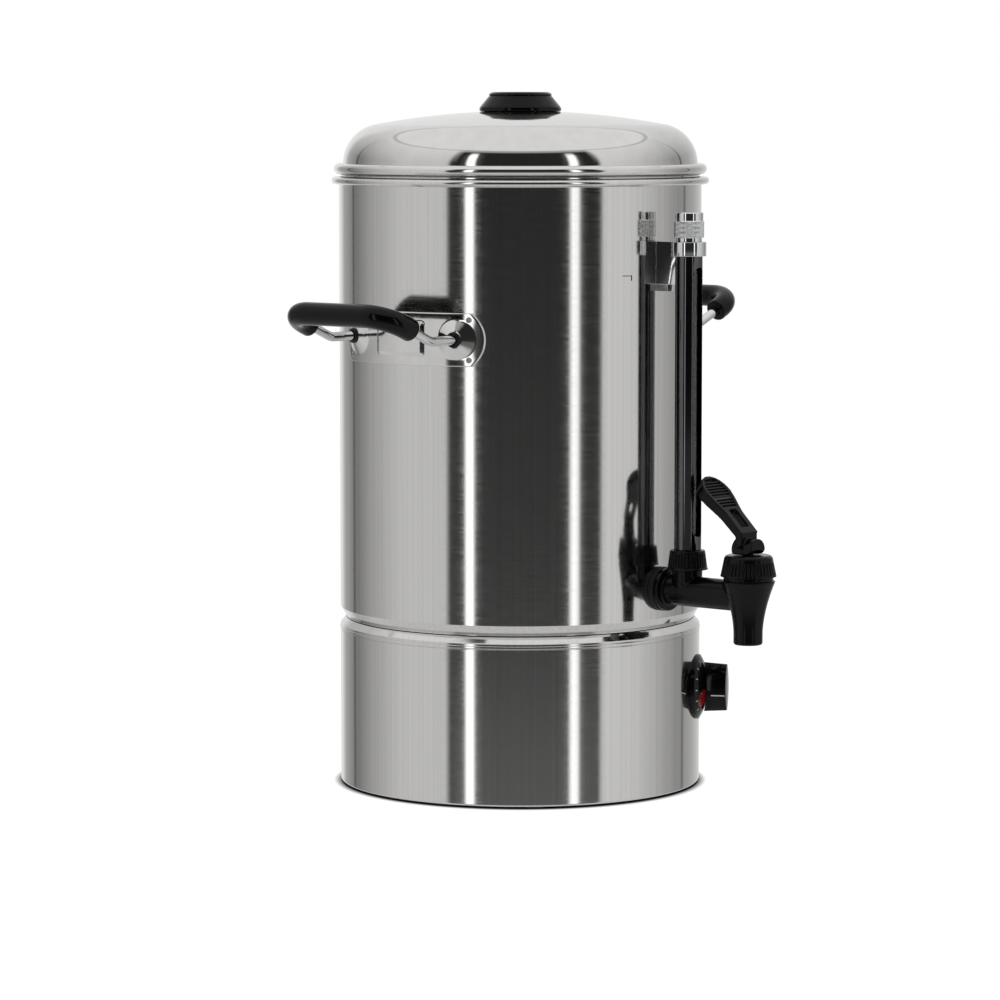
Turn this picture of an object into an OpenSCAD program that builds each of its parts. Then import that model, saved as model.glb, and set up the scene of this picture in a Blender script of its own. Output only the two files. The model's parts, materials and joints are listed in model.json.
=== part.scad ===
// Hot water urn: tank, base, lid, handles, self-closing tap, sight gauge and thermostat.
// Millimetres, +Z up, tap toward -Y. The origin is on the table, on the axis of the tank.

/* [Tank] */
// Outer radius of the tank wall and of the base wall
body_r = 117.7; // [114:0.1:124]
// Thickness of the tank and base sheet
sheet_t = 1; // [0.7:0.1:1.4]
// Height of the tank from its bottom flange to the middle of the rim bead
tank_h = 283.8; // [276:0.1:320]
// Radius of the rolled rim bead
rim_bead_r = 2.3; // [1.8:0.1:2.8]
// How far the ledge steps in at the foot of the tank
ledge_in = 3.7; // [2.5:0.1:4.5]
// Height of the slanted part of the ledge
ledge_h = 6.3; // [5:0.1:8]
// Thickness of the tank floor
floor_t = 1.5; // [1:0.1:2]

/* [Base] */
// Gap between the hem of the base and the table
hem_gap = 1.4; // [1:0.1:2.5]
// Height of the base shell
base_h = 107.3; // [103:0.1:115]
// Height of the folded hem at the bottom of the base shell
hem_h = 4.6; // [4:0.1:6]
// Radius of a rubber foot
foot_r = 10; // [8:0.1:11]
// Distance of the feet in from the body wall
foot_in = 13.7; // [13.2:0.1:16.7]
// Thickness of the joint ring between tank and base
joint_t = 0.5; // [0.4:0.1:1.2]
// Distance of the tie rods from the axis
tie_d = 60; // [55:0.1:62]

/* [Lid] */
// How far the lid bead stands out past the body wall
lid_bead_over = 3.3; // [2.8:0.1:4.3]
// Radius of the round of the lid bead
lid_bead_r = 3.5; // [3:0.1:4]
// How far the upright wall of the lid stands in from the body wall
lid_wall_in = 2.6; // [2.3:0.1:2.8]
// Radius of the lid shoulder
lid_shoulder_r = 26.2; // [22:0.1:30]
// Radius of the lid crown
lid_crown_r = 517; // [420:1:700]
// Thickness of the lid sheet
lid_t = 0.8; // [0.6:0.1:1.2]
// Depth of the lid skirt inside the tank
skirt_h = 10.6; // [8:0.1:14]
// Largest radius of the lid knob
lid_knob_r = 26.6; // [24:0.1:30]
// Height of the lid knob above its washer
lid_knob_h = 11.3; // [10:0.1:15]
// Thickness of the washer under the lid knob
knob_washer_t = 0.9; // [0.8:0.1:1.6]

/* [Handles] */
// Height of the handle rods where they leave the plates
rod_z = 295.5; // [280:0.1:310]
// Height of the middle of the grip
grip_z = 312.4; // [306:0.1:318]
// Distance of the middle of the grip from the axis of the tank
grip_d = 176.8; // [170:0.1:190]
// Half of the distance between the two rods of a handle
rod_half = 41.85; // [38:0.05:44]
// Radius of a handle rod
rod_r = 3; // [2.5:0.1:3.4]
// Radius of the black grip
grip_r = 7.3; // [6.5:0.1:8.5]
// Radius of the corners of the grip, on its middle line
grip_corner_r = 18; // [14:0.1:20]
// Height of a handle plate
plate_h = 33.5; // [31:0.1:38]
// Angle from the middle of a handle plate to the start of its round end
plate_half_angle = 24.9; // [24.5:0.1:27]
// Thickness of a handle plate
plate_t = 1.2; // [1:0.1:1.5]
// Radius of the foot of a pressed cone
cone_r = 12.8; // [11.8:0.1:13]
// Height of a pressed cone
cone_h = 3; // [2.6:0.1:3.6]

/* [Tap] */
// Height of the tap arm
tap_z = 135; // [134:0.1:150]
// Radius of the tap arm
arm_r = 9.75; // [9.2:0.05:10.2]
// Radius of the water passages
bore_r = 5.2; // [4.5:0.1:5.6]
// Radius of the nozzle
nozzle_r = 9.2; // [8.8:0.1:9.8]
// Drop from the arm to the mouth of the nozzle
nozzle_drop = 30; // [28:0.1:38]
// Radius of the top rim of the valve body
valve_top_r = 17.1; // [16.5:0.1:17.4]
// Rise from the arm to the top rim of the valve body
valve_rise = 10.4; // [10:0.1:12]
// Radius of the bonnet at its foot
bonnet_r = 17.65; // [17.6:0.05:19]
// Height of the bonnet
bonnet_h = 13.6; // [13.2:0.1:15]
// Number of ribs round the bonnet
bonnet_ribs = 40; // [24:2:44]
// Radius of the valve stem
stem_r = 3; // [2.7:0.1:3]

/* [Lever] */
// Length of the lever arm from its elbow to its tip
lever_l = 47.5; // [44:0.1:47.6]
// Lean of the lever arm back from upright
lever_lean = 45; // [40:0.5:45]
// Width of the lever arm near its elbow
lever_neck_w = 17; // [15:0.1:18]
// Width of the lever paddle
lever_paddle_w = 25; // [22:0.1:28]
// Gap between the guard tube and the tip of the lever
lever_gap = 6.76; // [5:0.01:16]
// Thickness of the lever arm
lever_t = 7; // [6:0.1:7.5]
// Width and length of the root block of the lever
root_w = 15; // [14.5:0.1:16]
// Height of the lever pin above the flat foot of the root block
pin_rise = 4.6; // [4.4:0.1:5]
// Number of ribs in the thumb recess
thumb_ribs = 9; // [5:1:10]

/* [Sight gauge] */
// Distance of the sight gauge out from the body wall
gauge_out = 20.3; // [19.3:0.1:22.3]
// Outer radius of the slotted guard tube
guard_r = 8.65; // [8.3:0.05:8.8]
// Thickness of the guard tube
guard_t = 0.8; // [0.6:0.1:1]
// Outer radius of the sight glass
glass_r = 6; // [5.6:0.1:6.1]
// Width of the slot in the guard tube
guard_slot_w = 9.5; // [7:0.1:11]
// Height of the foot of the gauge nut above the tap arm
gauge_nut_rise = 14; // [13.6:0.1:16]
// Drop from the rim of the tank to the top of the gauge bracket
bracket_drop = 39.3; // [30:0.1:48]

/* [Thermostat] */
// Angle from the tap round to the thermostat
dial_angle = 28.4; // [24:0.1:32]
// Height of the thermostat
dial_z = 64.5; // [60:0.1:70]
// Radius of the domed bezel
bezel_r = 21.1; // [20.5:0.1:22]
// Radius of the dome of the bezel
dome_r = 40; // [36:0.5:46]
// Half of the length of the knob at its foot
dial_knob_r = 16.4; // [15:0.1:17]
// Half of the width of the knob
dial_knob_half_w = 7.4; // [6.8:0.1:8.4]
// Distance of the knob face out from the body wall
dial_knob_out = 19.7; // [17.5:0.1:23]
// Radius of the red indicator lens
lens_r = 5.6; // [5:0.1:5.8]

/* [Hidden] */
$fn = 96;

// Clearances
// Overrun of every cut past the face that it opens
over = 1;
// Gap between fixed round faces that fit in or round each other
fit = 0.15;
// Gap round screws, rods and pins in their holes
hole_fit = 0.3;
// Gap between pieces that move past each other
run_gap = 0.3;
// How much fatter a bend is than the straight tube, and how far the straight tube runs into it
bend_grow = 0.04;
bend_lap = 0.6;
// Number of sides of the large round cuts that follow the tank wall
wall_sides = 480;

// Heights of the main stack
base_top_z = hem_gap + base_h;
tank_z = base_top_z + joint_t;
floor_top_z = tank_z + sheet_t + floor_t;
ledge_top_z = tank_z + joint_t + ledge_h;
rim_z = tank_z + tank_h;
rim_top_z = rim_z + rim_bead_r;
tank_in_r = body_r - sheet_t;
ledge_r = body_r - ledge_in;
// Width of the flat flanges between tank and base
flange_w = 10;
flange_in_r = ledge_r - flange_w;
// Distance of the middle of the rim bead from the tank wall
rim_out = 2.6;
floor_r = ledge_r - sheet_t - hole_fit;

// Points along an arc, for outlines
function arc(cx, cy, r, from, to, n) =
    [for (i = [0:n]) let (a = from + (to - from) * i / n) [cx + r * cos(a), cy + r * sin(a)]];

// Turns a piece drawn at the tap side to another place round the tank
module round_to(angle) {
    rotate([0, 0, angle]) children();
}

// Local +Z points out of the tank at the given height, and local +Y points up
module outward(z) {
    translate([0, 0, z]) rotate([90, 0, 0]) children();
}

module ring(r_out, r_in, h) {
    difference() {
        cylinder(r = r_out, h = h);
        translate([0, 0, -over]) cylinder(r = r_in, h = h + 2 * over);
    }
}

// Hexagon prism of a given width across its flats
module hexagon(flats, h) {
    cylinder(r = flats / sqrt(3), h = h, $fn = 6);
}

module hex_nut(flats, bore, h) {
    difference() {
        hexagon(flats, h);
        translate([0, 0, -over]) cylinder(r = bore, h = h + 2 * over);
    }
}

// Shared places on the tank and base walls
rod_angle = asin(rod_half / (body_r + fit + plate_t + cone_h));
foot_d = body_r - foot_in;
gauge_d = body_r + gauge_out;
elbow_front = 1;
valve_d = gauge_d + guard_r + lever_gap + lever_l * sin(lever_lean) - elbow_front;
bracket_top_z = rim_top_z - bracket_drop;
bracket_h = 27;
bolt_r = 2.4;
bolt_z = bracket_top_z - bracket_h / 2;
shank_r = 8;
dial_screw_d = 11.5;
dial_screw_r = 1.9;
shaft_r = 3;
lens_side = 10.4;
lens_drop = 6.2;
lamp_r = 4;
grommet_z = 30;
grommet_neck_r = 8;
grommet_bore_r = 4;
earth_side = 26;
earth_r = 2;
element_ring_r = 75;
element_tube_r = 4;
element_rise = 13;
element_bend_r = 9;
element_leg_angle = 16;
element_bush_r = 5;
tie_r = 2.5;
tie_count = 3;
foot_count = 4;
foot_screw_r = 2;
foot_screw_head_r = 4.5;
flange_z = hem_gap + hem_h;
plate_top_z = flange_z + 2 * sheet_t;
rivet_r = 1.3;
rivet_angle = 24.2;
rivet_rise = 12.6;

// Places the child at each foot, between the tap and the handles
module at_feet() {
    for (i = [0:foot_count - 1])
        round_to(45 + i * 360 / foot_count) translate([0, -foot_d, 0]) children();
}

// Places the child at each tie rod
module at_ties() {
    for (i = [0:tie_count - 1])
        round_to(i * 360 / tie_count) translate([0, -tie_d, 0]) children();
}

// Places the child at the two legs of the heating element, at the rear
module at_legs() {
    for (side = [-1, 1]) round_to(180 + side * element_leg_angle)
        translate([-side * element_bend_r, -element_ring_r, 0]) children();
}

// Frame of the thermostat: local +Z points out of the base wall
module dial_frame() {
    round_to(dial_angle) outward(dial_z) children();
}

module tank_shell() {
    wall_lean = atan(ledge_in / ledge_h);
    bend = sheet_t * tan(wall_lean / 2);
    in_z = tank_z + joint_t + bend;
    ledge_in_r = ledge_r - sheet_t + (tank_z + sheet_t - in_z) * ledge_in / ledge_h;
    bead_mid_r = body_r + rim_out;
    profile = concat(
        [[flange_in_r, tank_z], [ledge_r, tank_z], [ledge_r, tank_z + joint_t], [body_r, ledge_top_z],
         [body_r, rim_z - rim_bead_r]],
        arc(bead_mid_r, rim_z, rim_bead_r, -90, 90, 12),
        [[tank_in_r + fit, rim_top_z], [tank_in_r, rim_top_z - fit], [tank_in_r, ledge_top_z + bend],
         [ledge_in_r, tank_z + sheet_t], [flange_in_r, tank_z + sheet_t]]);
    color("silver") difference() {
        rotate_extrude() polygon(profile);
        outward(tap_z) cylinder(r = shank_r + hole_fit, h = body_r + over);
        outward(bolt_z) cylinder(r = bolt_r + hole_fit, h = body_r + over);
    }
}

module tank_floor() {
    color("silver") difference() {
        translate([0, 0, tank_z + sheet_t]) cylinder(r = floor_r, h = floor_t);
        at_legs() translate([0, 0, tank_z]) cylinder(r = element_bush_r + fit, h = floor_top_z);
    }
}

// Ring of tube in the water with two legs down through the floor
module heating_element() {
    ring_z = floor_top_z + element_rise;
    leg_low_z = tank_z - 16;
    pin_l = 8;
    sweep = 360 - 2 * element_leg_angle;
    lap_angle = atan(bend_lap / element_ring_r);
    color("dimgray") {
        translate([0, 0, ring_z]) rotate([0, 0, element_leg_angle + 90 - lap_angle])
            rotate_extrude(angle = sweep + 2 * lap_angle)
                translate([element_ring_r, 0]) circle(r = element_tube_r, $fn = 32);
        for (side = [-1, 1]) round_to(180 + side * element_leg_angle)
            translate([0, -element_ring_r, ring_z - element_bend_r]) rotate([90, 0, 0])
                rotate([0, 0, side > 0 ? 90 : 0]) rotate_extrude(angle = 90)
                    translate([element_bend_r, 0]) circle(r = element_tube_r + bend_grow, $fn = 32);
        at_legs() {
            translate([0, 0, leg_low_z])
                cylinder(r = element_tube_r, h = ring_z - element_bend_r - leg_low_z + bend_lap);
            translate([0, 0, leg_low_z - pin_l]) cylinder(r = element_tube_r / 3, h = pin_l + over);
        }
    }
}

element_nut_h = 4;

module element_nuts() {
    color("goldenrod") at_legs() translate([0, 0, tank_z + sheet_t - element_nut_h])
        hex_nut(4 * element_tube_r, element_tube_r + fit, element_nut_h);
}

module element_seals() {
    seal_h = 2;
    color("firebrick") at_legs() translate([0, 0, floor_top_z])
        ring(2 * element_tube_r, element_tube_r + fit, seal_h);
}

module joint_ring() {
    color("black") translate([0, 0, base_top_z]) ring(ledge_r, flange_in_r, joint_t);
}

module base_shell() {
    slant_h = 4.2;
    groove = 0.5;
    bead = 0.3;
    groove_top_h = 1.5;
    bead_h = 1.6;
    groove_low_h = 0.7;
    slant_z = base_top_z - slant_h;
    bead_top_z = slant_z - groove_top_h;
    bead_low_z = bead_top_z - bead_h;
    groove_low_z = bead_low_z - groove_low_h;
    foot_flange_in_r = foot_d - 1.2 * foot_r;
    profile = [
        [body_r - 2 * sheet_t, hem_gap], [body_r, hem_gap], [body_r, groove_low_z],
        [body_r - groove, groove_low_z], [body_r - groove, bead_low_z], [body_r + bead, bead_low_z],
        [body_r + bead, bead_top_z], [body_r - groove, bead_top_z], [body_r - groove, slant_z],
        [body_r, slant_z], [ledge_r, base_top_z], [flange_in_r, base_top_z],
        [flange_in_r, base_top_z - sheet_t], [ledge_r - sheet_t / 2, base_top_z - sheet_t],
        [tank_in_r, slant_z - sheet_t / 2], [tank_in_r, flange_z + sheet_t],
        [foot_flange_in_r, flange_z + sheet_t], [foot_flange_in_r, flange_z],
        [body_r - 2 * sheet_t, flange_z]];
    color("silver") difference() {
        rotate_extrude() polygon(profile);
        dial_frame() cylinder(r = shaft_r + 2 * hole_fit, h = body_r + over);
        dial_frame() translate([-lens_side, -lens_drop]) cylinder(r = lamp_r + fit, h = body_r + over);
        dial_frame() for (side = [-1, 1]) translate([0, side * dial_screw_d])
            cylinder(r = dial_screw_r + hole_fit, h = body_r + over);
        round_to(180) outward(grommet_z) cylinder(r = grommet_neck_r + fit, h = body_r + over);
        round_to(180) outward(grommet_z) translate([earth_side, 0]) cylinder(r = earth_r + hole_fit, h = body_r);
        at_feet() cylinder(r = foot_screw_r + hole_fit, h = plate_top_z);
    }
}

module base_plate() {
    slot_w = 4;
    slot_l = 26;
    slot_count = 12;
    slot_d = 34;
    color("gainsboro") difference() {
        translate([0, 0, flange_z + sheet_t]) cylinder(r = tank_in_r - 4 * sheet_t, h = sheet_t);
        at_feet() cylinder(r = foot_screw_r + hole_fit, h = plate_top_z + over);
        at_ties() cylinder(r = tie_r + hole_fit, h = plate_top_z + over);
        for (i = [0:slot_count - 1])
            round_to((i + 0.5) * 360 / slot_count)
                translate([-slot_w / 2, -slot_d, 0]) cube([slot_w, slot_l, plate_top_z + over]);
    }
}

foot_pocket_h = 2.5;

module rubber_feet() {
    foot_edge = 1;
    color("black") at_feet() difference() {
        rotate_extrude() polygon([[0, 0], [foot_r - foot_edge, 0], [foot_r, foot_edge],
            [foot_r, flange_z], [0, flange_z]]);
        translate([0, 0, -over]) cylinder(r = foot_screw_head_r + hole_fit, h = foot_pocket_h + over);
        cylinder(r = foot_screw_r + hole_fit, h = flange_z + over);
    }
}

// Screws up through the feet, with their nuts on the base plate
module foot_screws() {
    head_h = 1.6;
    nut_h = 3;
    color("silver") at_feet() {
        translate([0, 0, foot_pocket_h - head_h]) cylinder(r = foot_screw_head_r, h = head_h);
        translate([0, 0, foot_pocket_h - over / 2]) cylinder(r = foot_screw_r, h = plate_top_z + nut_h - foot_pocket_h + over);
        translate([0, 0, plate_top_z]) hexagon(3.5 * foot_screw_r, nut_h);
    }
}

tie_nut_h = 3.4;

// Studs under the tank floor that pull the base up against the tank
module tie_rods() {
    tie_low_z = flange_z + sheet_t - tie_nut_h - over;
    color("silver") at_ties() translate([0, 0, tie_low_z])
        cylinder(r = tie_r, h = tank_z + sheet_t - tie_low_z);
}

module tie_rod_nuts() {
    color("silver") at_ties() translate([0, 0, flange_z + sheet_t - tie_nut_h])
        hex_nut(3.4 * tie_r, tie_r + fit, tie_nut_h);
}

// Thermostat: front plate against the base wall and a switch housing behind it
dial_plate_w = 36;
dial_plate_t = 2;
dial_plate_d = sqrt(tank_in_r * tank_in_r - dial_plate_w * dial_plate_w / 4) - hole_fit;
dial_body_w = 30;
dial_body_l = 24;
shaft_in = 8;
shaft_in_d = dial_plate_d - shaft_in;
rim_rise = 1.3;
dome_mid_d = body_r + rim_rise - sqrt(dome_r * dome_r - bezel_r * bezel_r);
knob_face_d = body_r + dial_knob_out;

module thermostat_body() {
    terminal_w = 6;
    color("dimgray") difference() {
        dial_frame() {
            translate([-dial_plate_w / 2, -dial_plate_w / 2, dial_plate_d - dial_plate_t])
                cube([dial_plate_w, dial_plate_w, dial_plate_t]);
            translate([-dial_body_w / 2, -dial_body_w / 2, dial_plate_d - dial_plate_t - dial_body_l])
                cube([dial_body_w, dial_body_w, dial_body_l]);
            for (side = [-1, 1])
                translate([side * terminal_w - plate_t / 2, -terminal_w / 2, dial_plate_d - dial_body_l - terminal_w])
                    cube([plate_t, terminal_w, terminal_w]);
        }
        dial_frame() translate([0, 0, shaft_in_d - hole_fit]) cylinder(r = shaft_r + hole_fit, h = body_r);
        dial_frame() for (side = [-1, 1]) translate([0, side * dial_screw_d, shaft_in_d])
            cylinder(r = dial_screw_r + fit, h = body_r);
        dial_frame() translate([-lens_side, -lens_drop, lamp_back_d - hole_fit])
            cylinder(r = lamp_r + hole_fit, h = body_r);
    }
}

module thermostat_screws() {
    head_h = 1.5;
    screw_l = 8;
    head_d = body_r + fit;
    color("silver") dial_frame() for (side = [-1, 1]) translate([0, side * dial_screw_d, 0]) {
        translate([0, 0, head_d]) cylinder(r = 2 * dial_screw_r, h = head_h);
        translate([0, 0, head_d - screw_l]) cylinder(r = dial_screw_r, h = screw_l + head_h / 2);
    }
}

module thermostat_shaft() {
    flat_cut = 0.8;
    face_t = 4;
    shaft_l = knob_face_d - face_t - shaft_in_d;
    color("silver") dial_frame() difference() {
        translate([0, 0, shaft_in_d]) cylinder(r = shaft_r, h = shaft_l);
        translate([-shaft_r, shaft_r - flat_cut, body_r + dial_knob_out / 2])
            cube([2 * shaft_r, shaft_r, dome_r]);
    }
}

// Domed plate round the knob, open behind
module dial_bezel() {
    dome_t = 1.8;
    rim_t = 1.6;
    color("black") difference() {
        dial_frame() intersection() {
            translate([0, 0, body_r - bezel_r / 2]) cylinder(r = bezel_r, h = dome_r);
            translate([0, 0, dome_mid_d]) sphere(r = dome_r);
        }
        dial_frame() intersection() {
            cylinder(r = bezel_r - rim_t, h = 2 * body_r);
            translate([0, 0, dome_mid_d]) sphere(r = dome_r - dome_t);
        }
        cylinder(r = body_r + fit, h = base_top_z, $fn = wall_sides);
        dial_frame() cylinder(r = shaft_r + 2 * hole_fit, h = 2 * body_r);
        dial_frame() translate([-lens_side, -lens_drop]) cylinder(r = lens_r + fit, h = 2 * body_r);
    }
}

lens_t = 4.8;
lens_foot_d = dome_mid_d + sqrt(pow(dome_r, 2) - pow(lens_side, 2) - pow(lens_drop, 2)) - lens_t;
lamp_back = 20;
lamp_back_d = body_r - lamp_back;

// Red lens, flush with the dome
module indicator_lens() {
    color("red") dial_frame() intersection() {
        translate([-lens_side, -lens_drop, lens_foot_d]) cylinder(r = lens_r, h = dome_r / 2);
        translate([0, 0, dome_mid_d]) sphere(r = dome_r + fit);
    }
}

module lamp_body() {
    color("orange") dial_frame() translate([-lens_side, -lens_drop, lamp_back_d])
        cylinder(r = lamp_r, h = lens_foot_d - lamp_back_d);
}

// Tapered grip bar of the thermostat, its foot following the dome of the bezel
module thermostat_knob() {
    knob_tip_r = 15.1;
    side_r = (dial_knob_r * dial_knob_r + dial_knob_half_w * dial_knob_half_w) / (2 * dial_knob_half_w);
    foot_d = body_r + fit;
    face_t = 3.5;
    socket_d = knob_face_d - face_t;
    color("black") dial_frame() difference() {
        intersection() {
            translate([0, 0, foot_d]) cylinder(r1 = dial_knob_r, r2 = knob_tip_r, h = knob_face_d - foot_d);
            for (side = [-1, 1]) intersection() {
                translate([side_r - dial_knob_half_w, 0, foot_d]) cylinder(r = side_r, h = dome_r);
                translate([dial_knob_half_w - side_r, 0, foot_d]) cylinder(r = side_r, h = dome_r);
            }
        }
        translate([0, 0, dome_mid_d]) sphere(r = dome_r + 2 * run_gap);
        translate([0, 0, foot_d]) cylinder(r = shaft_r + fit, h = socket_d - foot_d);
    }
}

// Tube bend in the plane of local Y and Z, about a centre, from one angle on through another
module bend(y, z, r, from, sweep, tube_r) {
    translate([0, y, z]) rotate([90, 0, 90]) rotate([0, 0, from])
        rotate_extrude(angle = sweep) translate([r, 0]) circle(r = tube_r + bend_grow, $fn = 32);
}

bulb_r = 3;
bulb_l = 40;
bulb_side = 10;
bulb_z = tank_z + sheet_t - bulb_r - fit;
capillary_r = 1.2;
capillary_bend_r = 12;
capillary_out = 4;
dial_back_d = dial_plate_d - dial_plate_t - dial_body_l;
bulb_start_d = dial_back_d - 2 * (capillary_out + capillary_bend_r);

// Sensor bulb under the tank floor, and the thin tube that leads to it from the thermostat
module sensor_capillary() {
    rise_d = dial_back_d - capillary_out - capillary_bend_r;
    rise_h = bulb_z - dial_z - 2 * capillary_bend_r;
    color("peru") round_to(dial_angle) translate([bulb_side, 0, 0]) {
        translate([0, -dial_back_d, dial_z]) rotate([-90, 0, 0]) cylinder(r = capillary_r, h = capillary_out);
        bend(-rise_d - capillary_bend_r, dial_z + capillary_bend_r, capillary_bend_r, -90, 90, capillary_r);
        translate([0, -rise_d, dial_z + capillary_bend_r]) cylinder(r = capillary_r, h = rise_h);
        bend(-rise_d + capillary_bend_r, bulb_z - capillary_bend_r, capillary_bend_r, 90, 90, capillary_r);
        translate([0, -bulb_start_d - capillary_out, bulb_z]) rotate([-90, 0, 0])
            cylinder(r = capillary_r, h = capillary_out + over);
        translate([0, -bulb_start_d, bulb_z]) rotate([-90, 0, 0]) cylinder(r = bulb_r, h = bulb_l);
    }
}

// Saddle under the sensor bulb, with two ears against the tank floor
module bulb_clip() {
    clip_t = 1;
    clip_l = 8;
    ear_w = 6;
    out_r = bulb_r + fit + clip_t;
    color("silver") round_to(dial_angle)
        translate([bulb_side, -bulb_start_d + bulb_l / 2 + clip_l / 2, bulb_z]) rotate([90, 0, 0]) difference() {
            union() {
                cylinder(r = out_r, h = clip_l);
                translate([-out_r, 0, 0]) cube([2 * out_r, bulb_r + fit, clip_l]);
                translate([-out_r - ear_w, bulb_r + fit - clip_t, 0]) cube([2 * (out_r + ear_w), clip_t, clip_l]);
            }
            translate([0, 0, -over]) cylinder(r = bulb_r + fit, h = clip_l + 2 * over);
            translate([-bulb_r - fit, 0, -over]) cube([2 * (bulb_r + fit), bulb_r + over, clip_l + 2 * over]);
            translate([-out_r, bulb_r + fit, -over]) cube([2 * out_r, out_r, clip_l + 2 * over]);
        }
}

// Cut-out against the middle of the tank floor, with two tabs
module boil_dry_cutout() {
    cutout_r = 12;
    cutout_h = 9;
    tab_w = 6;
    color("saddlebrown") translate([0, 0, tank_z + sheet_t - cutout_h]) {
        cylinder(r = cutout_r, h = cutout_h);
        for (side = [-1, 1]) translate([side * cutout_r / 2 - sheet_t / 2, -tab_w / 2, -tab_w])
            cube([sheet_t, tab_w, tab_w + over]);
    }
}

// Screw terminals on the base plate, at the rear
module terminal_block() {
    block_l = 36;
    block_w = 16;
    block_h = 14;
    ways = 3;
    way = block_l / ways;
    color("ivory") round_to(180) translate([-block_l / 2, -foot_d + 2 * foot_r, plate_top_z]) difference() {
        cube([block_l, block_w, block_h]);
        for (i = [0:ways - 1]) translate([(i + 0.5) * way, block_w / 2, block_h / 2])
            cylinder(r = way / 4, h = block_h);
        for (i = [1:ways - 1]) translate([i * way - sheet_t / 2, -over, block_h - 3 * sheet_t])
            cube([sheet_t, block_w + 2 * over, block_h]);
    }
}

// Two flanges and a neck round the edge of the hole in the base wall
module cord_grommet() {
    lip = 2.5;
    lip_t = 2.5;
    wall_in_r = tank_in_r - fit;
    back_d = wall_in_r - 2 * lip_t;
    front_d = body_r + lip_t;
    color("black") difference() {
        round_to(180) outward(grommet_z) translate([0, 0, back_d])
            cylinder(r = grommet_neck_r + lip, h = front_d - back_d);
        round_to(180) outward(grommet_z) translate([0, 0, back_d - over])
            cylinder(r = grommet_bore_r, h = front_d - back_d + 2 * over);
        difference() {
            cylinder(r = body_r + fit, h = base_top_z, $fn = wall_sides);
            translate([0, 0, -over]) cylinder(r = wall_in_r, h = base_top_z + 2 * over, $fn = wall_sides);
            round_to(180) outward(grommet_z) cylinder(r = grommet_neck_r, h = 2 * body_r);
        }
    }
}

// Earth screw through the rear of the base wall, with its nut inside
module earth_screw() {
    head_h = 1.6;
    nut_h = 2.4;
    nut_d = sqrt(tank_in_r * tank_in_r - pow(earth_side + 2 * earth_r, 2)) - nut_h - hole_fit;
    head_d = sqrt(body_r * body_r - pow(earth_side - 2 * earth_r, 2)) + fit;
    color("goldenrod") round_to(180) outward(grommet_z) translate([earth_side, 0, 0]) {
        translate([0, 0, nut_d]) cylinder(r = earth_r, h = head_d - nut_d + head_h / 2);
        translate([0, 0, head_d]) cylinder(r = 2 * earth_r, h = head_h);
        translate([0, 0, nut_d]) hexagon(3.5 * earth_r, nut_h);
    }
}

// Handle, drawn at the tap side and turned to the left or right
grip_end_share = 0.45;
rod_bend_d = 137;
rod_bend_r = 14;
grip_slope = atan((grip_z - rod_z) / (grip_d - rod_bend_d));
arm_l = (grip_d - rod_bend_d) / cos(grip_slope);
bend_take = rod_bend_r * tan(grip_slope / 2);
rod_root_d = sqrt(body_r * body_r - pow(rod_half - rod_r, 2)) + run_gap;
plate_out_r = body_r + fit + plate_t;

// Frame at the bend of the rods: local +Y runs down the slope toward the tank
module slope_frame() {
    translate([0, -rod_bend_d, rod_z]) rotate([-grip_slope, 0, 0]) children();
}

// The two corners and the cross bar of a handle
module loop_bar(tube_r) {
    slope_frame() {
        for (side = [-1, 1])
            translate([side * (rod_half - grip_corner_r), -arm_l + grip_corner_r, 0])
                rotate([0, 0, side > 0 ? -90 : -180]) rotate_extrude(angle = 90)
                    translate([grip_corner_r, 0]) circle(r = tube_r + bend_grow, $fn = 48);
        translate([-rod_half + grip_corner_r - bend_lap, -arm_l, 0]) rotate([0, 90, 0])
            cylinder(r = tube_r, h = 2 * (rod_half - grip_corner_r + bend_lap));
    }
}

// Places the child on both sloped arms, at a length from the bend, with local +Z away from the tank
module at_arms(from_l) {
    slope_frame() for (side = [-1, 1]) translate([side * rod_half, -from_l, 0]) rotate([90, 0, 0]) children();
}

module handle_rod(angle) {
    from_l = bend_take - bend_lap;
    color("silver") round_to(angle) {
        for (side = [-1, 1]) translate([side * rod_half, 0, 0]) {
            translate([0, -rod_root_d, rod_z]) rotate([90, 0, 0])
                cylinder(r = rod_r, h = rod_bend_d - bend_take + bend_lap - rod_root_d);
            bend(-rod_bend_d + bend_take, rod_z + rod_bend_r, rod_bend_r, 270 - grip_slope, grip_slope, rod_r);
        }
        at_arms(from_l) cylinder(r = rod_r, h = arm_l - grip_corner_r - from_l + bend_lap);
        loop_bar(rod_r);
    }
}

module handle_grip(angle) {
    from_l = arm_l * grip_end_share;
    straight = arm_l - grip_corner_r - from_l + bend_lap;
    edge = 2;
    color("black") round_to(angle) difference() {
        union() {
            loop_bar(grip_r);
            at_arms(from_l) rotate_extrude() polygon(concat([[0, 0]],
                arc(grip_r - edge, edge, edge, -90, 0, 5), [[grip_r, straight], [0, straight]]));
        }
        loop_bar(rod_r + fit);
        at_arms(from_l - over) cylinder(r = rod_r + fit, h = straight + over);
    }
}

// Outline of a handle plate as seen from outside, grown by a margin
module plate_outline(grow) {
    half_w = plate_out_r * sin(plate_half_angle) + grow;
    half_h = plate_h / 2 + grow;
    end_r = 1.33 * half_h;
    end_mid = half_w - sqrt(end_r * end_r - half_h * half_h);
    intersection() {
        square([4 * half_w, 2 * half_h], center = true);
        union() {
            square([2 * half_w, 2 * half_h], center = true);
            for (side = [-1, 1]) translate([side * end_mid, 0]) circle(r = end_r);
        }
    }
}

module rounded_square(w, h, r) {
    square([w - 2 * r, h], center = true);
    square([w, h - 2 * r], center = true);
    for (x = [-1, 1], y = [-1, 1]) translate([x * (w / 2 - r), y * (h / 2 - r)]) circle(r = r, $fn = 32);
}

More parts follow.
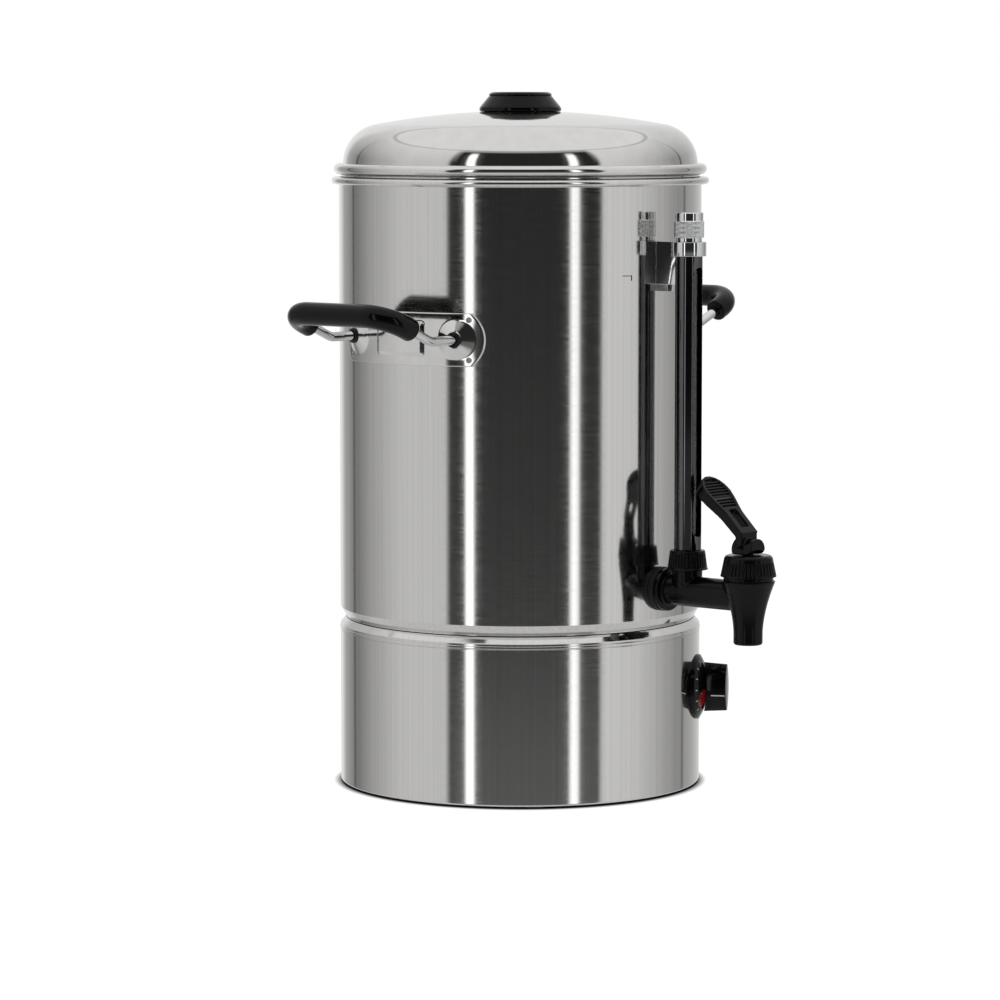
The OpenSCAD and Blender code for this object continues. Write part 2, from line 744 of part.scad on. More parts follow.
module handle_plate(angle) {
    pad_w = 40;
    pad_h = 22.5;
    pad_corner_r = 3;
    pad_rise = 1.4;
    top_r = 5;
    low_d = body_r / 2;
    cone_base_d = plate_out_r * cos(asin(cone_r / plate_out_r)) - fit;
    color("silver") round_to(angle) difference() {
        union() {
            intersection() {
                translate([0, 0, rod_z - plate_h]) cylinder(r = plate_out_r, h = 2 * plate_h, $fn = wall_sides);
                outward(rod_z) translate([0, 0, low_d]) linear_extrude(body_r) plate_outline(0);
            }
            intersection() {
                translate([0, 0, rod_z - plate_h]) cylinder(r = plate_out_r + pad_rise, h = 2 * plate_h, $fn = wall_sides);
                outward(rod_z) translate([0, 0, low_d]) linear_extrude(body_r)
                    rounded_square(pad_w, pad_h, pad_corner_r);
            }
            for (side = [-1, 1]) round_to(side * rod_angle) outward(rod_z)
                translate([0, 0, cone_base_d])
                    cylinder(r1 = cone_r, r2 = top_r, h = plate_out_r + cone_h - cone_base_d);
        }
        translate([0, 0, rod_z - plate_h]) cylinder(r = body_r + fit, h = 2 * plate_h, $fn = wall_sides);
        intersection() {
            translate([0, 0, rod_z - plate_h]) cylinder(r = body_r + fit + pad_rise, h = 2 * plate_h, $fn = wall_sides);
            outward(rod_z) translate([0, 0, low_d]) linear_extrude(body_r)
                rounded_square(pad_w - 2 * plate_t, pad_h - 2 * plate_t, pad_corner_r - plate_t);
        }
        for (side = [-1, 1]) round_to(side * rod_angle) outward(rod_z)
            translate([0, 0, cone_base_d - plate_t])
                cylinder(r1 = cone_r, r2 = top_r, h = plate_out_r + cone_h - cone_base_d);
        for (side = [-1, 1]) outward(rod_z) translate([side * rod_half, 0, low_d])
            cylinder(r = rod_r + fit, h = body_r);
        for (side = [-1, 1], rise = [-1, 1]) round_to(side * rivet_angle) outward(rod_z)
            translate([0, rise * rivet_rise, low_d]) cylinder(r = rivet_r + fit, h = body_r);
    }
}

// Black rings on the tips of the cones, round the rods
module handle_rings(angle) {
    ring_r = 4.75;
    ring_t = 2;
    color("black") round_to(angle) difference() {
        for (side = [-1, 1]) round_to(side * rod_angle) outward(rod_z)
            translate([0, 0, plate_out_r + cone_h]) cylinder(r = ring_r, h = ring_t);
        for (side = [-1, 1]) outward(rod_z) translate([side * rod_half, 0, 0])
            cylinder(r = rod_r + fit, h = 2 * body_r);
    }
}

module plate_rivets(angle) {
    head_h = 0.8;
    foot_gap = fit / 2;
    color("silver") round_to(angle) for (side = [-1, 1], rise = [-1, 1])
        round_to(side * rivet_angle) outward(rod_z) translate([0, rise * rivet_rise, 0]) {
            translate([0, 0, body_r + foot_gap]) cylinder(r = rivet_r, h = plate_t + fit);
            translate([0, 0, plate_out_r + foot_gap]) cylinder(r1 = 1.5 * rivet_r, r2 = rivet_r, h = head_h);
        }
}

module handle_plate_left() { handle_plate(-90); }
module handle_plate_right() { handle_plate(90); }
module handle_rod_left() { handle_rod(-90); }
module handle_rod_right() { handle_rod(90); }
module handle_grip_left() { handle_grip(-90); }
module handle_grip_right() { handle_grip(90); }
module handle_rings_left() { handle_rings(-90); }
module handle_rings_right() { handle_rings(90); }
module plate_rivets_left() { plate_rivets(-90); }
module plate_rivets_right() { plate_rivets(90); }

// Lid heights follow the rim of the tank
lid_bead_rise = 4.9;
lid_shoulder_rise = 2.95;
skirt_gap = 1.2;
lid_foot_z = rim_top_z + run_gap;
lid_wall_r = body_r - lid_wall_in;
lid_bead_z = lid_foot_z + lid_bead_rise;
lid_bead_mid_r = body_r + lid_bead_over - lid_bead_r;
lid_shoulder_z = lid_bead_z + lid_shoulder_rise;
crown_mid_z = lid_shoulder_z - sqrt(pow(lid_crown_r - lid_shoulder_r, 2) - pow(lid_wall_r - lid_shoulder_r, 2));
lid_top_z = crown_mid_z + lid_crown_r;
skirt_r = tank_in_r - skirt_gap;
shoulder_angle = acos((lid_wall_r - lid_shoulder_r) / (lid_crown_r - lid_shoulder_r));
knob_screw_r = 2;
knob_z = lid_top_z + knob_washer_t;

module lid_shell() {
    flange_t = 0.8;
    bead_in_angle = 180 - acos((lid_bead_mid_r - lid_wall_r) / lid_bead_r);
    profile = concat(
        [[skirt_r, lid_foot_z - skirt_h], [skirt_r, lid_foot_z],
         [lid_bead_mid_r + fit, lid_foot_z], [lid_bead_mid_r + fit, lid_foot_z + flange_t]],
        arc(lid_bead_mid_r, lid_bead_z, lid_bead_r, -70, bead_in_angle, 14),
        arc(lid_wall_r - lid_shoulder_r, lid_shoulder_z, lid_shoulder_r, 0, shoulder_angle, 8),
        arc(0, crown_mid_z, lid_crown_r, shoulder_angle + (90 - shoulder_angle) / 6, 90, 5),
        arc(0, crown_mid_z, lid_crown_r - lid_t, 90, shoulder_angle + (90 - shoulder_angle) / 6, 5),
        arc(lid_wall_r - lid_shoulder_r, lid_shoulder_z, lid_shoulder_r - lid_t, shoulder_angle, 0, 8),
        [[lid_wall_r - lid_t, lid_foot_z - skirt_h]]);
    color("silver") difference() {
        rotate_extrude() polygon(profile);
        translate([0, 0, lid_top_z - lid_shoulder_r]) cylinder(r = knob_screw_r + hole_fit, h = 2 * lid_shoulder_r);
    }
}

module lid_knob() {
    sink = 0.5;
    edge = 0.6;
    wall = 3;
    shoulder_r = 3.2;
    slope = 38.7;
    groove_share = 0.76;
    cap_r_share = 0.77;
    top_r_share = 0.64;
    rim_knob_z = lid_top_z - sink;
    groove_z = knob_z + groove_share * lid_knob_h;
    cap_r = cap_r_share * lid_knob_r;
    groove = 0.4;
    cap = [for (i = [0:4]) let (a = 90 * i / 4)
        [top_r_share * lid_knob_r + (cap_r - top_r_share * lid_knob_r) * cos(a),
         groove_z + groove + (knob_z + lid_knob_h - groove_z - groove) * sin(a)]];
    color("black") difference() {
        rotate_extrude() polygon(concat([[0, knob_z], [lid_knob_r - wall, knob_z], [lid_knob_r - wall, rim_knob_z],
            [lid_knob_r - edge, rim_knob_z], [lid_knob_r, rim_knob_z + edge]],
            arc(lid_knob_r - shoulder_r, knob_z, shoulder_r, 0, slope, 6),
            [[cap_r, groove_z], [cap_r - groove, groove_z], [cap_r - groove, groove_z + groove]],
            cap, [[0, knob_z + lid_knob_h]]));
        translate([0, 0, knob_z - over]) cylinder(r = knob_screw_r + fit, h = groove_z - knob_z + over);
    }
}

module knob_screw() {
    head_h = 2.4;
    head_z = lid_top_z - lid_t - fit - head_h;
    thread_l = 6.5;
    color("silver") {
        translate([0, 0, head_z]) cylinder(r = 2.1 * knob_screw_r, h = head_h);
        translate([0, 0, head_z]) cylinder(r = knob_screw_r, h = knob_z + thread_l - head_z);
    }
}

module knob_washer() {
    washer_out_r = 9;
    color("black") translate([0, 0, lid_top_z]) ring(washer_out_r, knob_screw_r + hole_fit, knob_washer_t);
}

// Tap: stack from inside the tank out to the flange of the body
washer_t = 3.2;
washer_r = 14;
tap_flange_r = 13.75;
tap_flange_t = 3.5;
inner_nut_t = 6;
inner_seal_t = 3;
washer_out_d = body_r + washer_t;
inner_seal_d = sqrt(tank_in_r * tank_in_r - tap_flange_r * tap_flange_r) - fit - inner_seal_t;
shank_in_d = inner_seal_d - inner_nut_t - 2 * sheet_t;

// Valve heights
rim_groove_h = 2.6;
spigot_h = 5;
spigot_r = 12;
chamber_r = 9.2;
seat_drop = 8;
seat_t = 3;
body_rim_z = tap_z + valve_rise;
bonnet_z = body_rim_z + rim_groove_h;
bonnet_top_z = bonnet_z + bonnet_h;
bonnet_roof_t = 3.4;
spring_top_z = bonnet_top_z - bonnet_roof_t;
seat_z = tap_z - seat_drop;
cup_r = 7.6;
cup_h = 10.8;
cup_z = seat_z + run_gap;
cup_top_z = cup_z + cup_h;
pin_z = bonnet_top_z + run_gap + pin_rise;
pin_r = 1.1;

// Gauge heights
neck_r = 9.5;
gauge_nut_z = tap_z + gauge_nut_rise;
gauge_nut_h = 12.3;
gauge_nut_top_z = gauge_nut_z + gauge_nut_h;
gauge_spigot_r = 8;
gauge_spigot_h = 6;
gauge_seal_h = 2.4;
glass_foot_z = gauge_nut_z - neck_r / 2;
glass_t = 1;
gauge_cap_h = 18.5;
gauge_cap_r = 9.6;

module valve_frame(z) {
    translate([0, -valve_d, z]) children();
}

module gauge_frame(z) {
    translate([0, -gauge_d, z]) children();
}

// Grooves cut along a cone, to leave ribs between them
module rib_grooves(r_low, r_high, h, count, depth) {
    lean = atan((r_low - r_high) / h);
    for (i = [0:count - 1])
        rotate([0, 0, i * 360 / count]) translate([r_low, 0, 0]) rotate([0, -lean, 0]) rotate([0, 0, 45])
            translate([-depth, -depth, 0]) cube([2 * depth, 2 * depth, h]);
}

// Body with its shank, flange, arm, gauge neck, valve cone and nozzle, drilled through
module tap_body() {
    flare_power = 1.7;
    flare_foot_share = 0.757;
    mouth_edge = 0.8;
    mouth_z = tap_z - nozzle_drop;
    flare_z = tap_z - nozzle_drop * flare_foot_share;
    flare = [for (i = [0:10]) let (s = i / 10)
        [nozzle_r + (valve_top_r - nozzle_r) * pow(s, flare_power), flare_z + (body_rim_z - flare_z) * s]];
    nozzle_bore_r = nozzle_r - 2.6;
    color("black") difference() {
        union() {
            outward(tap_z) {
                translate([0, 0, shank_in_d]) cylinder(r = shank_r, h = washer_out_d - shank_in_d + over);
                translate([0, 0, washer_out_d]) cylinder(r = tap_flange_r, h = tap_flange_t);
                translate([0, 0, washer_out_d]) cylinder(r = arm_r, h = valve_d - washer_out_d);
            }
            gauge_frame(tap_z) cylinder(r = neck_r, h = gauge_nut_rise);
            gauge_frame(gauge_nut_z - over) cylinder(r = gauge_spigot_r, h = gauge_spigot_h + over);
            valve_frame(0) rotate_extrude() polygon(concat(
                [[0, mouth_z], [nozzle_r - mouth_edge, mouth_z], [nozzle_r, mouth_z + mouth_edge]], flare,
                [[valve_top_r - 1.5 * sheet_t, body_rim_z], [valve_top_r - 1.5 * sheet_t, bonnet_z],
                 [spigot_r, bonnet_z], [spigot_r, bonnet_z + spigot_h], [0, bonnet_z + spigot_h]]));
        }
        outward(tap_z) translate([0, 0, shank_in_d - over]) cylinder(r = bore_r, h = valve_d - shank_in_d + over);
        valve_frame(mouth_z - over) cylinder(r = nozzle_bore_r, h = seat_z - seat_t - mouth_z + over);
        valve_frame(mouth_z) cylinder(r = bore_r, h = seat_z - mouth_z + over);
        valve_frame(seat_z) cylinder(r = chamber_r, h = bonnet_z + spigot_h - seat_z + over);
        gauge_frame(tap_z) cylinder(r = glass_r - glass_t, h = gauge_nut_rise);
        gauge_frame(glass_foot_z) cylinder(r = glass_r + fit, h = 2 * gauge_nut_rise);
    }
}

module tap_washer() {
    color("black") difference() {
        outward(tap_z) cylinder(r = washer_r, h = washer_out_d);
        cylinder(r = body_r + fit, h = 2 * tap_z, $fn = wall_sides);
        outward(tap_z) cylinder(r = shank_r + fit, h = washer_out_d + over);
    }
}

module tap_inner_seal() {
    color("white") intersection() {
        outward(tap_z) translate([0, 0, inner_seal_d]) ring(tap_flange_r, shank_r + fit, washer_out_d - inner_seal_d);
        cylinder(r = tank_in_r - fit, h = 2 * tap_z, $fn = wall_sides);
    }
}

module tap_inner_nut() {
    color("gray") outward(tap_z) translate([0, 0, inner_seal_d - inner_nut_t])
        hex_nut(3 * shank_r, shank_r + fit, inner_nut_t);
}

module tap_bonnet() {
    top_r = 15.5;
    flat_r = 12.5;
    slant_h = 10.5;
    band_h = 1;
    groove = 0.45;
    shoulder_h = bonnet_h - slant_h;
    shoulder = [for (i = [0:6]) let (a = 90 * i / 6)
        [flat_r + (top_r - flat_r) * cos(a), bonnet_z + slant_h + shoulder_h * sin(a)]];
    color("black") difference() {
        valve_frame(0) rotate_extrude() polygon(concat([[0, bonnet_z], [bonnet_r, bonnet_z]], shoulder,
            [[0, bonnet_top_z]]));
        valve_frame(bonnet_z + band_h) rib_grooves(bonnet_r - (bonnet_r - top_r) * band_h / slant_h, top_r,
            slant_h - 2 * band_h, bonnet_ribs, groove);
        valve_frame(bonnet_z - over) cylinder(r = spigot_r + fit, h = spigot_h + fit + over);
        valve_frame(bonnet_z) cylinder(r = cup_r - fit, h = spring_top_z - bonnet_z);
        valve_frame(bonnet_z) cylinder(r = stem_r + run_gap, h = 2 * bonnet_h);
    }
}

// Stem with a round eye at its top for the lever pin
module valve_stem() {
    stem_z = cup_z + cup_h / 4;
    color("gray") difference() {
        union() {
            valve_frame(stem_z) cylinder(r = stem_r, h = pin_z - stem_z);
            valve_frame(pin_z) sphere(r = stem_r);
        }
        valve_frame(pin_z) rotate([0, 90, 0]) translate([0, 0, -stem_r - over])
            cylinder(r = pin_r + fit, h = 2 * (stem_r + over), $fn = 48);
    }
}

module seat_cup() {
    cup_top_r = 5.4;
    lip_h = 2.2;
    color("white") difference() {
        valve_frame(0) rotate_extrude() polygon([[0, cup_z], [cup_r, cup_z], [cup_r, cup_z + lip_h],
            [cup_top_r, cup_z + cup_h / 2], [cup_top_r, cup_top_z], [0, cup_top_z]]);
        valve_frame(cup_z + cup_h / 4 - fit) cylinder(r = stem_r + fit, h = cup_h);
    }
}

// Return spring as one coiled tube with flat-lying end turns
spring_r = 4.6;
spring_wire_r = 0.5;
spring_turns = 7;
spring_steps = 20;
spring_sides = 6;

function spring_z(t) = let (low = cup_top_z + spring_wire_r + fit, high = spring_top_z - spring_wire_r - fit,
    s = min(1, max(0, (t - 1) / (spring_turns - 2)))) low + (high - low) * s;

module valve_spring() {
    count = spring_turns * spring_steps;
    pts = [for (i = [0:count], j = [0:spring_sides - 1])
        let (a = 360 * i / spring_steps, b = 360 * j / spring_sides, r = spring_r + spring_wire_r * cos(b))
        [r * cos(a), r * sin(a), spring_z(i / spring_steps) + i / count * over / 2 + spring_wire_r * sin(b)]];
    sides = [for (i = [0:count - 1], j = [0:spring_sides - 1])
        let (k = (j + 1) % spring_sides, p = i * spring_sides, q = p + spring_sides)
        each [[p + j, p + k, q + k], [p + j, q + k, q + j]]];
    ends = [for (j = [1:spring_sides - 2]) each [[0, j + 1, j],
        [count * spring_sides, count * spring_sides + j, count * spring_sides + j + 1]]];
    color("silver") valve_frame(0) polyhedron(pts, concat(sides, ends));
}

// Lever in its own frame: local Y and Z from the pin, X across
module lever_frame() {
    valve_frame(pin_z) children();
}

// Solid from an outline in local Y and Z, centred across
module side_slab(w) {
    rotate([90, 0, 90]) translate([0, 0, -w / 2]) linear_extrude(w) children();
}

elbow_rise = 9;
neck_depth = 5.4;
lever_max = 45;
thumb_from_share = 0.46;
flare_from_share = 0.3;

// Frame of the lever arm: local X up along the arm, Y across, Z out of its top face
module arm_frame() {
    lever_frame() translate([0, -elbow_front, elbow_rise]) rotate([90 - lever_lean, 0, 0]) rotate([0, 0, 90]) children();
}

// Half of the width of the lever arm at a share of its length
function arm_half(s) = let (tip_r = lever_paddle_w / 2, x = s * lever_l, c = lever_l - tip_r,
    f = min(1, max(0, (x - flare_from_share * lever_l) / (c - flare_from_share * lever_l))))
    x > c ? sqrt(max(0, tip_r * tip_r - (x - c) * (x - c)))
          : lever_neck_w / 2 + (tip_r - lever_neck_w / 2) * (1 - cos(180 * f)) / 2;

// Outline of the arm between two shares of its length, drawn in by a margin
module arm_plan(from, to, margin) {
    steps = 24;
    tip_flat = 0.4;
    edge = [for (i = [0:steps]) let (s = 1 - pow(1 - i / steps, 2), p = from + (to - from) * s)
        [p * lever_l, max(tip_flat, arm_half(p) - margin)]];
    polygon(concat(edge, [for (i = [steps:-1:0]) [edge[i][0], -edge[i][1]]]));
}

module lever_root() {
    arch_mid = root_w / 2 - pin_rise + lever_arch_top;
    toe_r = 4;
    heel_r = 2;
    rear = root_w / 2 + 0.5;
    top = arch_mid + root_w;
    intersection() {
        rotate([90, 0, 0]) translate([0, 0, -root_w]) linear_extrude(2 * root_w) union() {
            translate([0, lever_arch_top - root_w / 2]) circle(r = root_w / 2);
            translate([-root_w / 2, -pin_rise]) square([root_w, lever_arch_top - root_w / 2 + pin_rise]);
        }
        side_slab(2 * root_w) polygon(concat(
            arc(-root_w / 2 + toe_r, -pin_rise + toe_r, toe_r, 180, 270, 6),
            arc(rear - heel_r, -pin_rise + heel_r, heel_r, 270, 360, 4),
            [[rear, top], [-root_w / 2, top]]));
    }
}

// Height of the crown of the root block above the pin
lever_arch_top = 5.5;

module tap_lever() {
    thumb_depth = 1.8;
    rib_h = 1.3;
    rib_w = 1.1;
    rim_w = 2.6;
    slot_w = 7.6;
    slot_from = 5;
    slot_l = 14.5;
    gap_r = stem_r + run_gap;
    open_angle = lever_max + 3;
    reach = 2 * root_w;
    thumb_l = lever_l * (1 - thumb_from_share) - rim_w;
    tip_t = lever_t + 0.6;
    root_t = lever_t - 1.8;
    neck_step = 0.3;
    color("black") difference() {
        union() {
            lever_frame() lever_root();
            lever_frame() side_slab(lever_neck_w - 2 * neck_step)
                polygon([[neck_step - elbow_front, 0], [neck_step - elbow_front, elbow_rise - 2 * neck_step],
                    [neck_depth - elbow_front, elbow_rise], [neck_depth - elbow_front, 0]]);
            difference() {
                intersection() {
                    arm_frame() translate([0, 0, -2 * lever_t]) linear_extrude(2 * lever_t) arm_plan(0, 1, 0);
                    arm_frame() rotate([90, 0, 0]) translate([0, 0, -lever_paddle_w])
                        linear_extrude(2 * lever_paddle_w) polygon([[0, 0], [lever_l, 0],
                            [lever_l, -tip_t], [0, -root_t]]);
                }
                arm_frame() translate([0, 0, -thumb_depth]) linear_extrude(2 * thumb_depth)
                    arm_plan(thumb_from_share, 1 - rim_w / lever_l, rim_w);
                arm_frame() translate([slot_from, -slot_w / 2, -lever_t - over]) cube([slot_l, slot_w, 2 * lever_t]);
            }
            intersection() {
                arm_frame() translate([0, 0, -thumb_depth - over]) linear_extrude(rib_h + over)
                    arm_plan(thumb_from_share, 1 - rim_w / lever_l, rim_w - over / 2);
                arm_frame() for (i = [1:thumb_ribs])
                    translate([thumb_from_share * lever_l + i * thumb_l / (thumb_ribs + 1) - rib_w / 2,
                        -lever_paddle_w / 2, -lever_t]) cube([rib_w, lever_paddle_w, lever_t]);
            }
        }
        lever_frame() rotate([0, 90, 0]) translate([0, 0, -gap_r]) cylinder(r = gap_r, h = 2 * gap_r);
        lever_frame() side_slab(2 * gap_r) polygon([[gap_r, 0], [gap_r, -reach],
            [-reach * sin(open_angle), -reach],
            [-gap_r * cos(open_angle) - reach * sin(open_angle), gap_r * sin(open_angle) - reach * cos(open_angle)],
            [-gap_r * cos(open_angle), gap_r * sin(open_angle)]]);
        lever_frame() rotate([0, 90, 0]) translate([0, 0, -root_w]) cylinder(r = pin_r + fit, h = 2 * root_w, $fn = 48);
    }
}

module lever_pin() {
    inset = 0.8;
    color("silver") lever_frame() rotate([0, 90, 0]) translate([0, 0, -root_w / 2 + inset])
        cylinder(r = pin_r, h = root_w - 2 * inset, $fn = 48);
}

module gauge_nut() {
    foot_r = 13.1;
    top_r = 11.2;
    lip = 0.5;
    groove = 0.4;
    ribs = 32;
    color("black") difference() {
        gauge_frame(0) rotate_extrude() polygon([[0, gauge_nut_z], [foot_r, gauge_nut_z],
            [foot_r, gauge_nut_z + lip], [foot_r - lip, gauge_nut_z + 2 * lip], [top_r, gauge_nut_top_z - lip],
            [top_r - lip, gauge_nut_top_z], [0, gauge_nut_top_z]]);
        gauge_frame(gauge_nut_z + 3 * lip) rib_grooves(foot_r - lip, top_r, gauge_nut_h - 6 * lip, ribs, groove);
        gauge_frame(gauge_nut_z - over) cylinder(r = gauge_spigot_r + fit, h = gauge_spigot_h + gauge_seal_h + over);
        gauge_frame(gauge_nut_z) cylinder(r = glass_r + fit, h = 2 * gauge_nut_h);
    }
}

module gauge_seal_lower() {
    color("white") gauge_frame(gauge_nut_z + gauge_spigot_h)
        ring(gauge_spigot_r, glass_r + fit, gauge_seal_h);
}

cap_socket_h = 11;

module gauge_glass() {
    color("lightblue") gauge_frame(glass_foot_z)
        ring(glass_r, glass_r - glass_t, bracket_top_z + cap_socket_h - gauge_seal_h - glass_foot_z);
}

module gauge_seal_upper() {
    color("white") gauge_frame(bracket_top_z + cap_socket_h - gauge_seal_h)
        ring(glass_r, glass_r / 2, gauge_seal_h - fit);
}

// Guard tube round the glass, with a long slot that faces the user
module gauge_guard() {
    slot_foot = 8.7;
    slot_head = 16;
    slot_from_z = gauge_nut_top_z + slot_foot;
    slot_to_z = bracket_top_z - slot_head;
    slot_r = guard_slot_w / 2;
    color("silver") difference() {
        gauge_frame(gauge_nut_top_z) ring(guard_r, guard_r - guard_t, bracket_top_z - gauge_nut_top_z);
        for (z = [slot_from_z + slot_r, slot_to_z - slot_r])
            outward(z) translate([0, 0, gauge_d]) cylinder(r = slot_r, h = 2 * guard_r);
        translate([-slot_r, -gauge_d - 2 * guard_r, slot_from_z + slot_r])
            cube([guard_slot_w, 2 * guard_r, slot_to_z - slot_from_z - guard_slot_w]);
    }
}

// Block from the tank wall to the ring that holds the top of the guard tube
module gauge_bracket() {
    block_w = 14;
    lip_h = 4.4;
    lip_w = 11;
    lip_out = 8;
    ring_r = 11;
    ring_h = 9;
    color("silver") difference() {
        union() {
            translate([-block_w / 2, -gauge_d, bracket_top_z - bracket_h])
                cube([block_w, gauge_d - body_r / 2, bracket_h]);
            gauge_frame(bracket_top_z - ring_h) cylinder(r = ring_r, h = ring_h);
            translate([-lip_w / 2, -body_r - lip_out, bracket_top_z - bracket_h - lip_h])
                cube([lip_w, body_r / 2, lip_h + over]);
        }
        translate([0, 0, bracket_top_z - 2 * bracket_h]) cylinder(r = body_r + fit, h = 3 * bracket_h, $fn = wall_sides);
        gauge_frame(bracket_top_z - 2 * bracket_h) cylinder(r = guard_r + fit, h = 3 * bracket_h);
        outward(bolt_z) cylinder(r = bolt_r + fit, h = gauge_d);
    }
}

// Bolt from inside the tank into the gauge bracket, with its seal washer
module bracket_bolt() {
    head_r = 5;
    head_h = 2.6;
    head_d = sqrt(tank_in_r * tank_in_r - head_r * head_r) - fit;
    bolt_l = 12;
    color("silver") intersection() {
        outward(bolt_z) {
            translate([0, 0, head_d - head_h]) cylinder(r = head_r, h = head_h);
            translate([0, 0, head_d - head_h]) cylinder(r = bolt_r, h = bolt_l);
        }
        translate([0, 0, bolt_z - bracket_h]) cylinder(r = 2 * body_r, h = 2 * bracket_h);
    }
}

// Knurled cap over the top of the glass, with an air hole
module gauge_cap() {
    neck_h = 2.5;
    cap_neck_r = 8.2;
    knurl_h = 10.7;
    top_r = 9;
    edge = 0.6;
    groove = 0.4;
    ribs = 30;
    air_r = 1;
    cap_z = bracket_top_z;
    color("black") difference() {
        gauge_frame(cap_z) rotate_extrude() polygon([[0, 0], [cap_neck_r, 0], [cap_neck_r, neck_h],
            [gauge_cap_r - edge, neck_h], [gauge_cap_r, neck_h + edge], [gauge_cap_r, neck_h + knurl_h],
            [top_r, neck_h + knurl_h + edge], [top_r, gauge_cap_h - edge], [top_r - edge, gauge_cap_h],
            [0, gauge_cap_h]]);
        gauge_frame(cap_z + neck_h + 2 * edge) rib_grooves(gauge_cap_r, gauge_cap_r, knurl_h - 3 * edge, ribs, groove);
        gauge_frame(cap_z - over) cylinder(r = glass_r + fit, h = cap_socket_h + over);
        gauge_frame(cap_z) cylinder(r = air_r, h = 2 * gauge_cap_h);
    }
}

tank_shell();
tank_floor();
heating_element();
element_nuts();
element_seals();
joint_ring();
base_shell();
base_plate();
rubber_feet();
foot_screws();
tie_rods();
tie_rod_nuts();
thermostat_body();
sensor_capillary();
bulb_clip();
boil_dry_cutout();
terminal_block();
cord_grommet();
earth_screw();
dial_bezel();
indicator_lens();
lamp_body();
thermostat_screws();
thermostat_knob();
thermostat_shaft();
handle_plate_left();
handle_plate_right();
handle_rod_left();
handle_rod_right();
handle_grip_left();
handle_grip_right();
handle_rings_left();
handle_rings_right();
plate_rivets_left();
plate_rivets_right();
lid_shell();
lid_knob();
knob_screw();
knob_washer();
tap_body();
tap_washer();
tap_inner_nut();
tap_inner_seal();
tap_bonnet();
valve_stem();
seat_cup();
valve_spring();
tap_lever();
lever_pin();
gauge_nut();
gauge_seal_lower();
gauge_glass();
gauge_guard();
gauge_bracket();
bracket_bolt();
gauge_cap();
gauge_seal_upper();
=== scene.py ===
"""Hot water urn: sheet metal, handles, tap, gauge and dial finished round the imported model."""
import json
import math

import bmesh
import bpy
from mathutils import Matrix, Vector
from mathutils.geometry import delaunay_2d_cdt


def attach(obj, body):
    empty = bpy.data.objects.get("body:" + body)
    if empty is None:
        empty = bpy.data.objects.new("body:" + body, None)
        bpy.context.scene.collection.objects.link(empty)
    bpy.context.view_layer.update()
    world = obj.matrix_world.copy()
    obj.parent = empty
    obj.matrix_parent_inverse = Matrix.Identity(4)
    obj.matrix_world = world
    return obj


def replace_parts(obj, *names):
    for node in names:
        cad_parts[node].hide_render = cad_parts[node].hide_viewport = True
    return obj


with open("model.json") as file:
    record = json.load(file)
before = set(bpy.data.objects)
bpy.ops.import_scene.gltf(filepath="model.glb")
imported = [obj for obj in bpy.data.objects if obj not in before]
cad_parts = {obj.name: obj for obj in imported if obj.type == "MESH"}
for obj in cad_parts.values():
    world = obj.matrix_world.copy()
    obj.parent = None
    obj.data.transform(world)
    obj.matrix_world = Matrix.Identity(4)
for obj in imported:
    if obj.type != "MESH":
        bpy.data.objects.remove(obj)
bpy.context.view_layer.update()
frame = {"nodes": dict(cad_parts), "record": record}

# Sizes in millimetres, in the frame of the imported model: +Z up, the tap toward -Y
MM = 0.001
BODY_R, SHEET, HEM_GAP, BASE_H, JOINT = 117.7, 1.0, 1.4, 107.3, 0.5
TANK_H, RIM_R, RIM_OUT, LEDGE_IN, LEDGE_H, FLANGE_W = 283.8, 2.3, 2.6, 3.7, 6.3, 10.0
BASE_TOP = HEM_GAP + BASE_H
TANK_Z = BASE_TOP + JOINT
LEDGE_TOP = TANK_Z + JOINT + LEDGE_H
RIM_Z = TANK_Z + TANK_H
LEDGE_R = BODY_R - LEDGE_IN
FLANGE_R = LEDGE_R - FLANGE_W
FIT = 0.15

LID_GAP, LID_BEAD_RISE, LID_SHOULDER_RISE = 0.3, 4.9, 2.95
LID_FOOT = RIM_Z + RIM_R + LID_GAP
LID_BEAD_Z, LID_BEAD_OUT, LID_BEAD_R = LID_FOOT + LID_BEAD_RISE, 121.0, 3.5
LID_WALL_R, LID_SHOULDER, LID_CROWN, LID_T, SKIRT_H, SKIRT_R = 115.1, 26.2, 517.0, 0.8, 10.6, 115.5
LID_SHOULDER_Z = LID_BEAD_Z + LID_SHOULDER_RISE
CROWN_Z = LID_SHOULDER_Z - math.sqrt((LID_CROWN - LID_SHOULDER) ** 2 - (LID_WALL_R - LID_SHOULDER) ** 2)
LID_TOP = CROWN_Z + LID_CROWN
KNOB_WASHER_T, KNOB_R, KNOB_H, KNOB_SINK = 0.9, 26.6, 11.3, 0.5
KNOB_Z = LID_TOP + KNOB_WASHER_T

ROD_Z, ROD_HALF, ROD_R, ROD_BEND_D, ROD_BEND_R = 295.5, 41.85, 3.0, 137.0, 14.0
GRIP_Z, GRIP_D, GRIP_R, GRIP_CORNER, GRIP_END_SHARE = 312.4, 176.8, 7.3, 18.0, 0.45
PLATE_T, PLATE_H, PLATE_HALF_ANGLE = 1.2, 33.5, 24.9
PLATE_R = BODY_R + FIT + PLATE_T
CONE_R, CONE_TOP_R, CONE_H = 12.8, 5.0, 3.0
ROD_ANGLE = math.degrees(math.asin(ROD_HALF / (PLATE_R + CONE_H)))

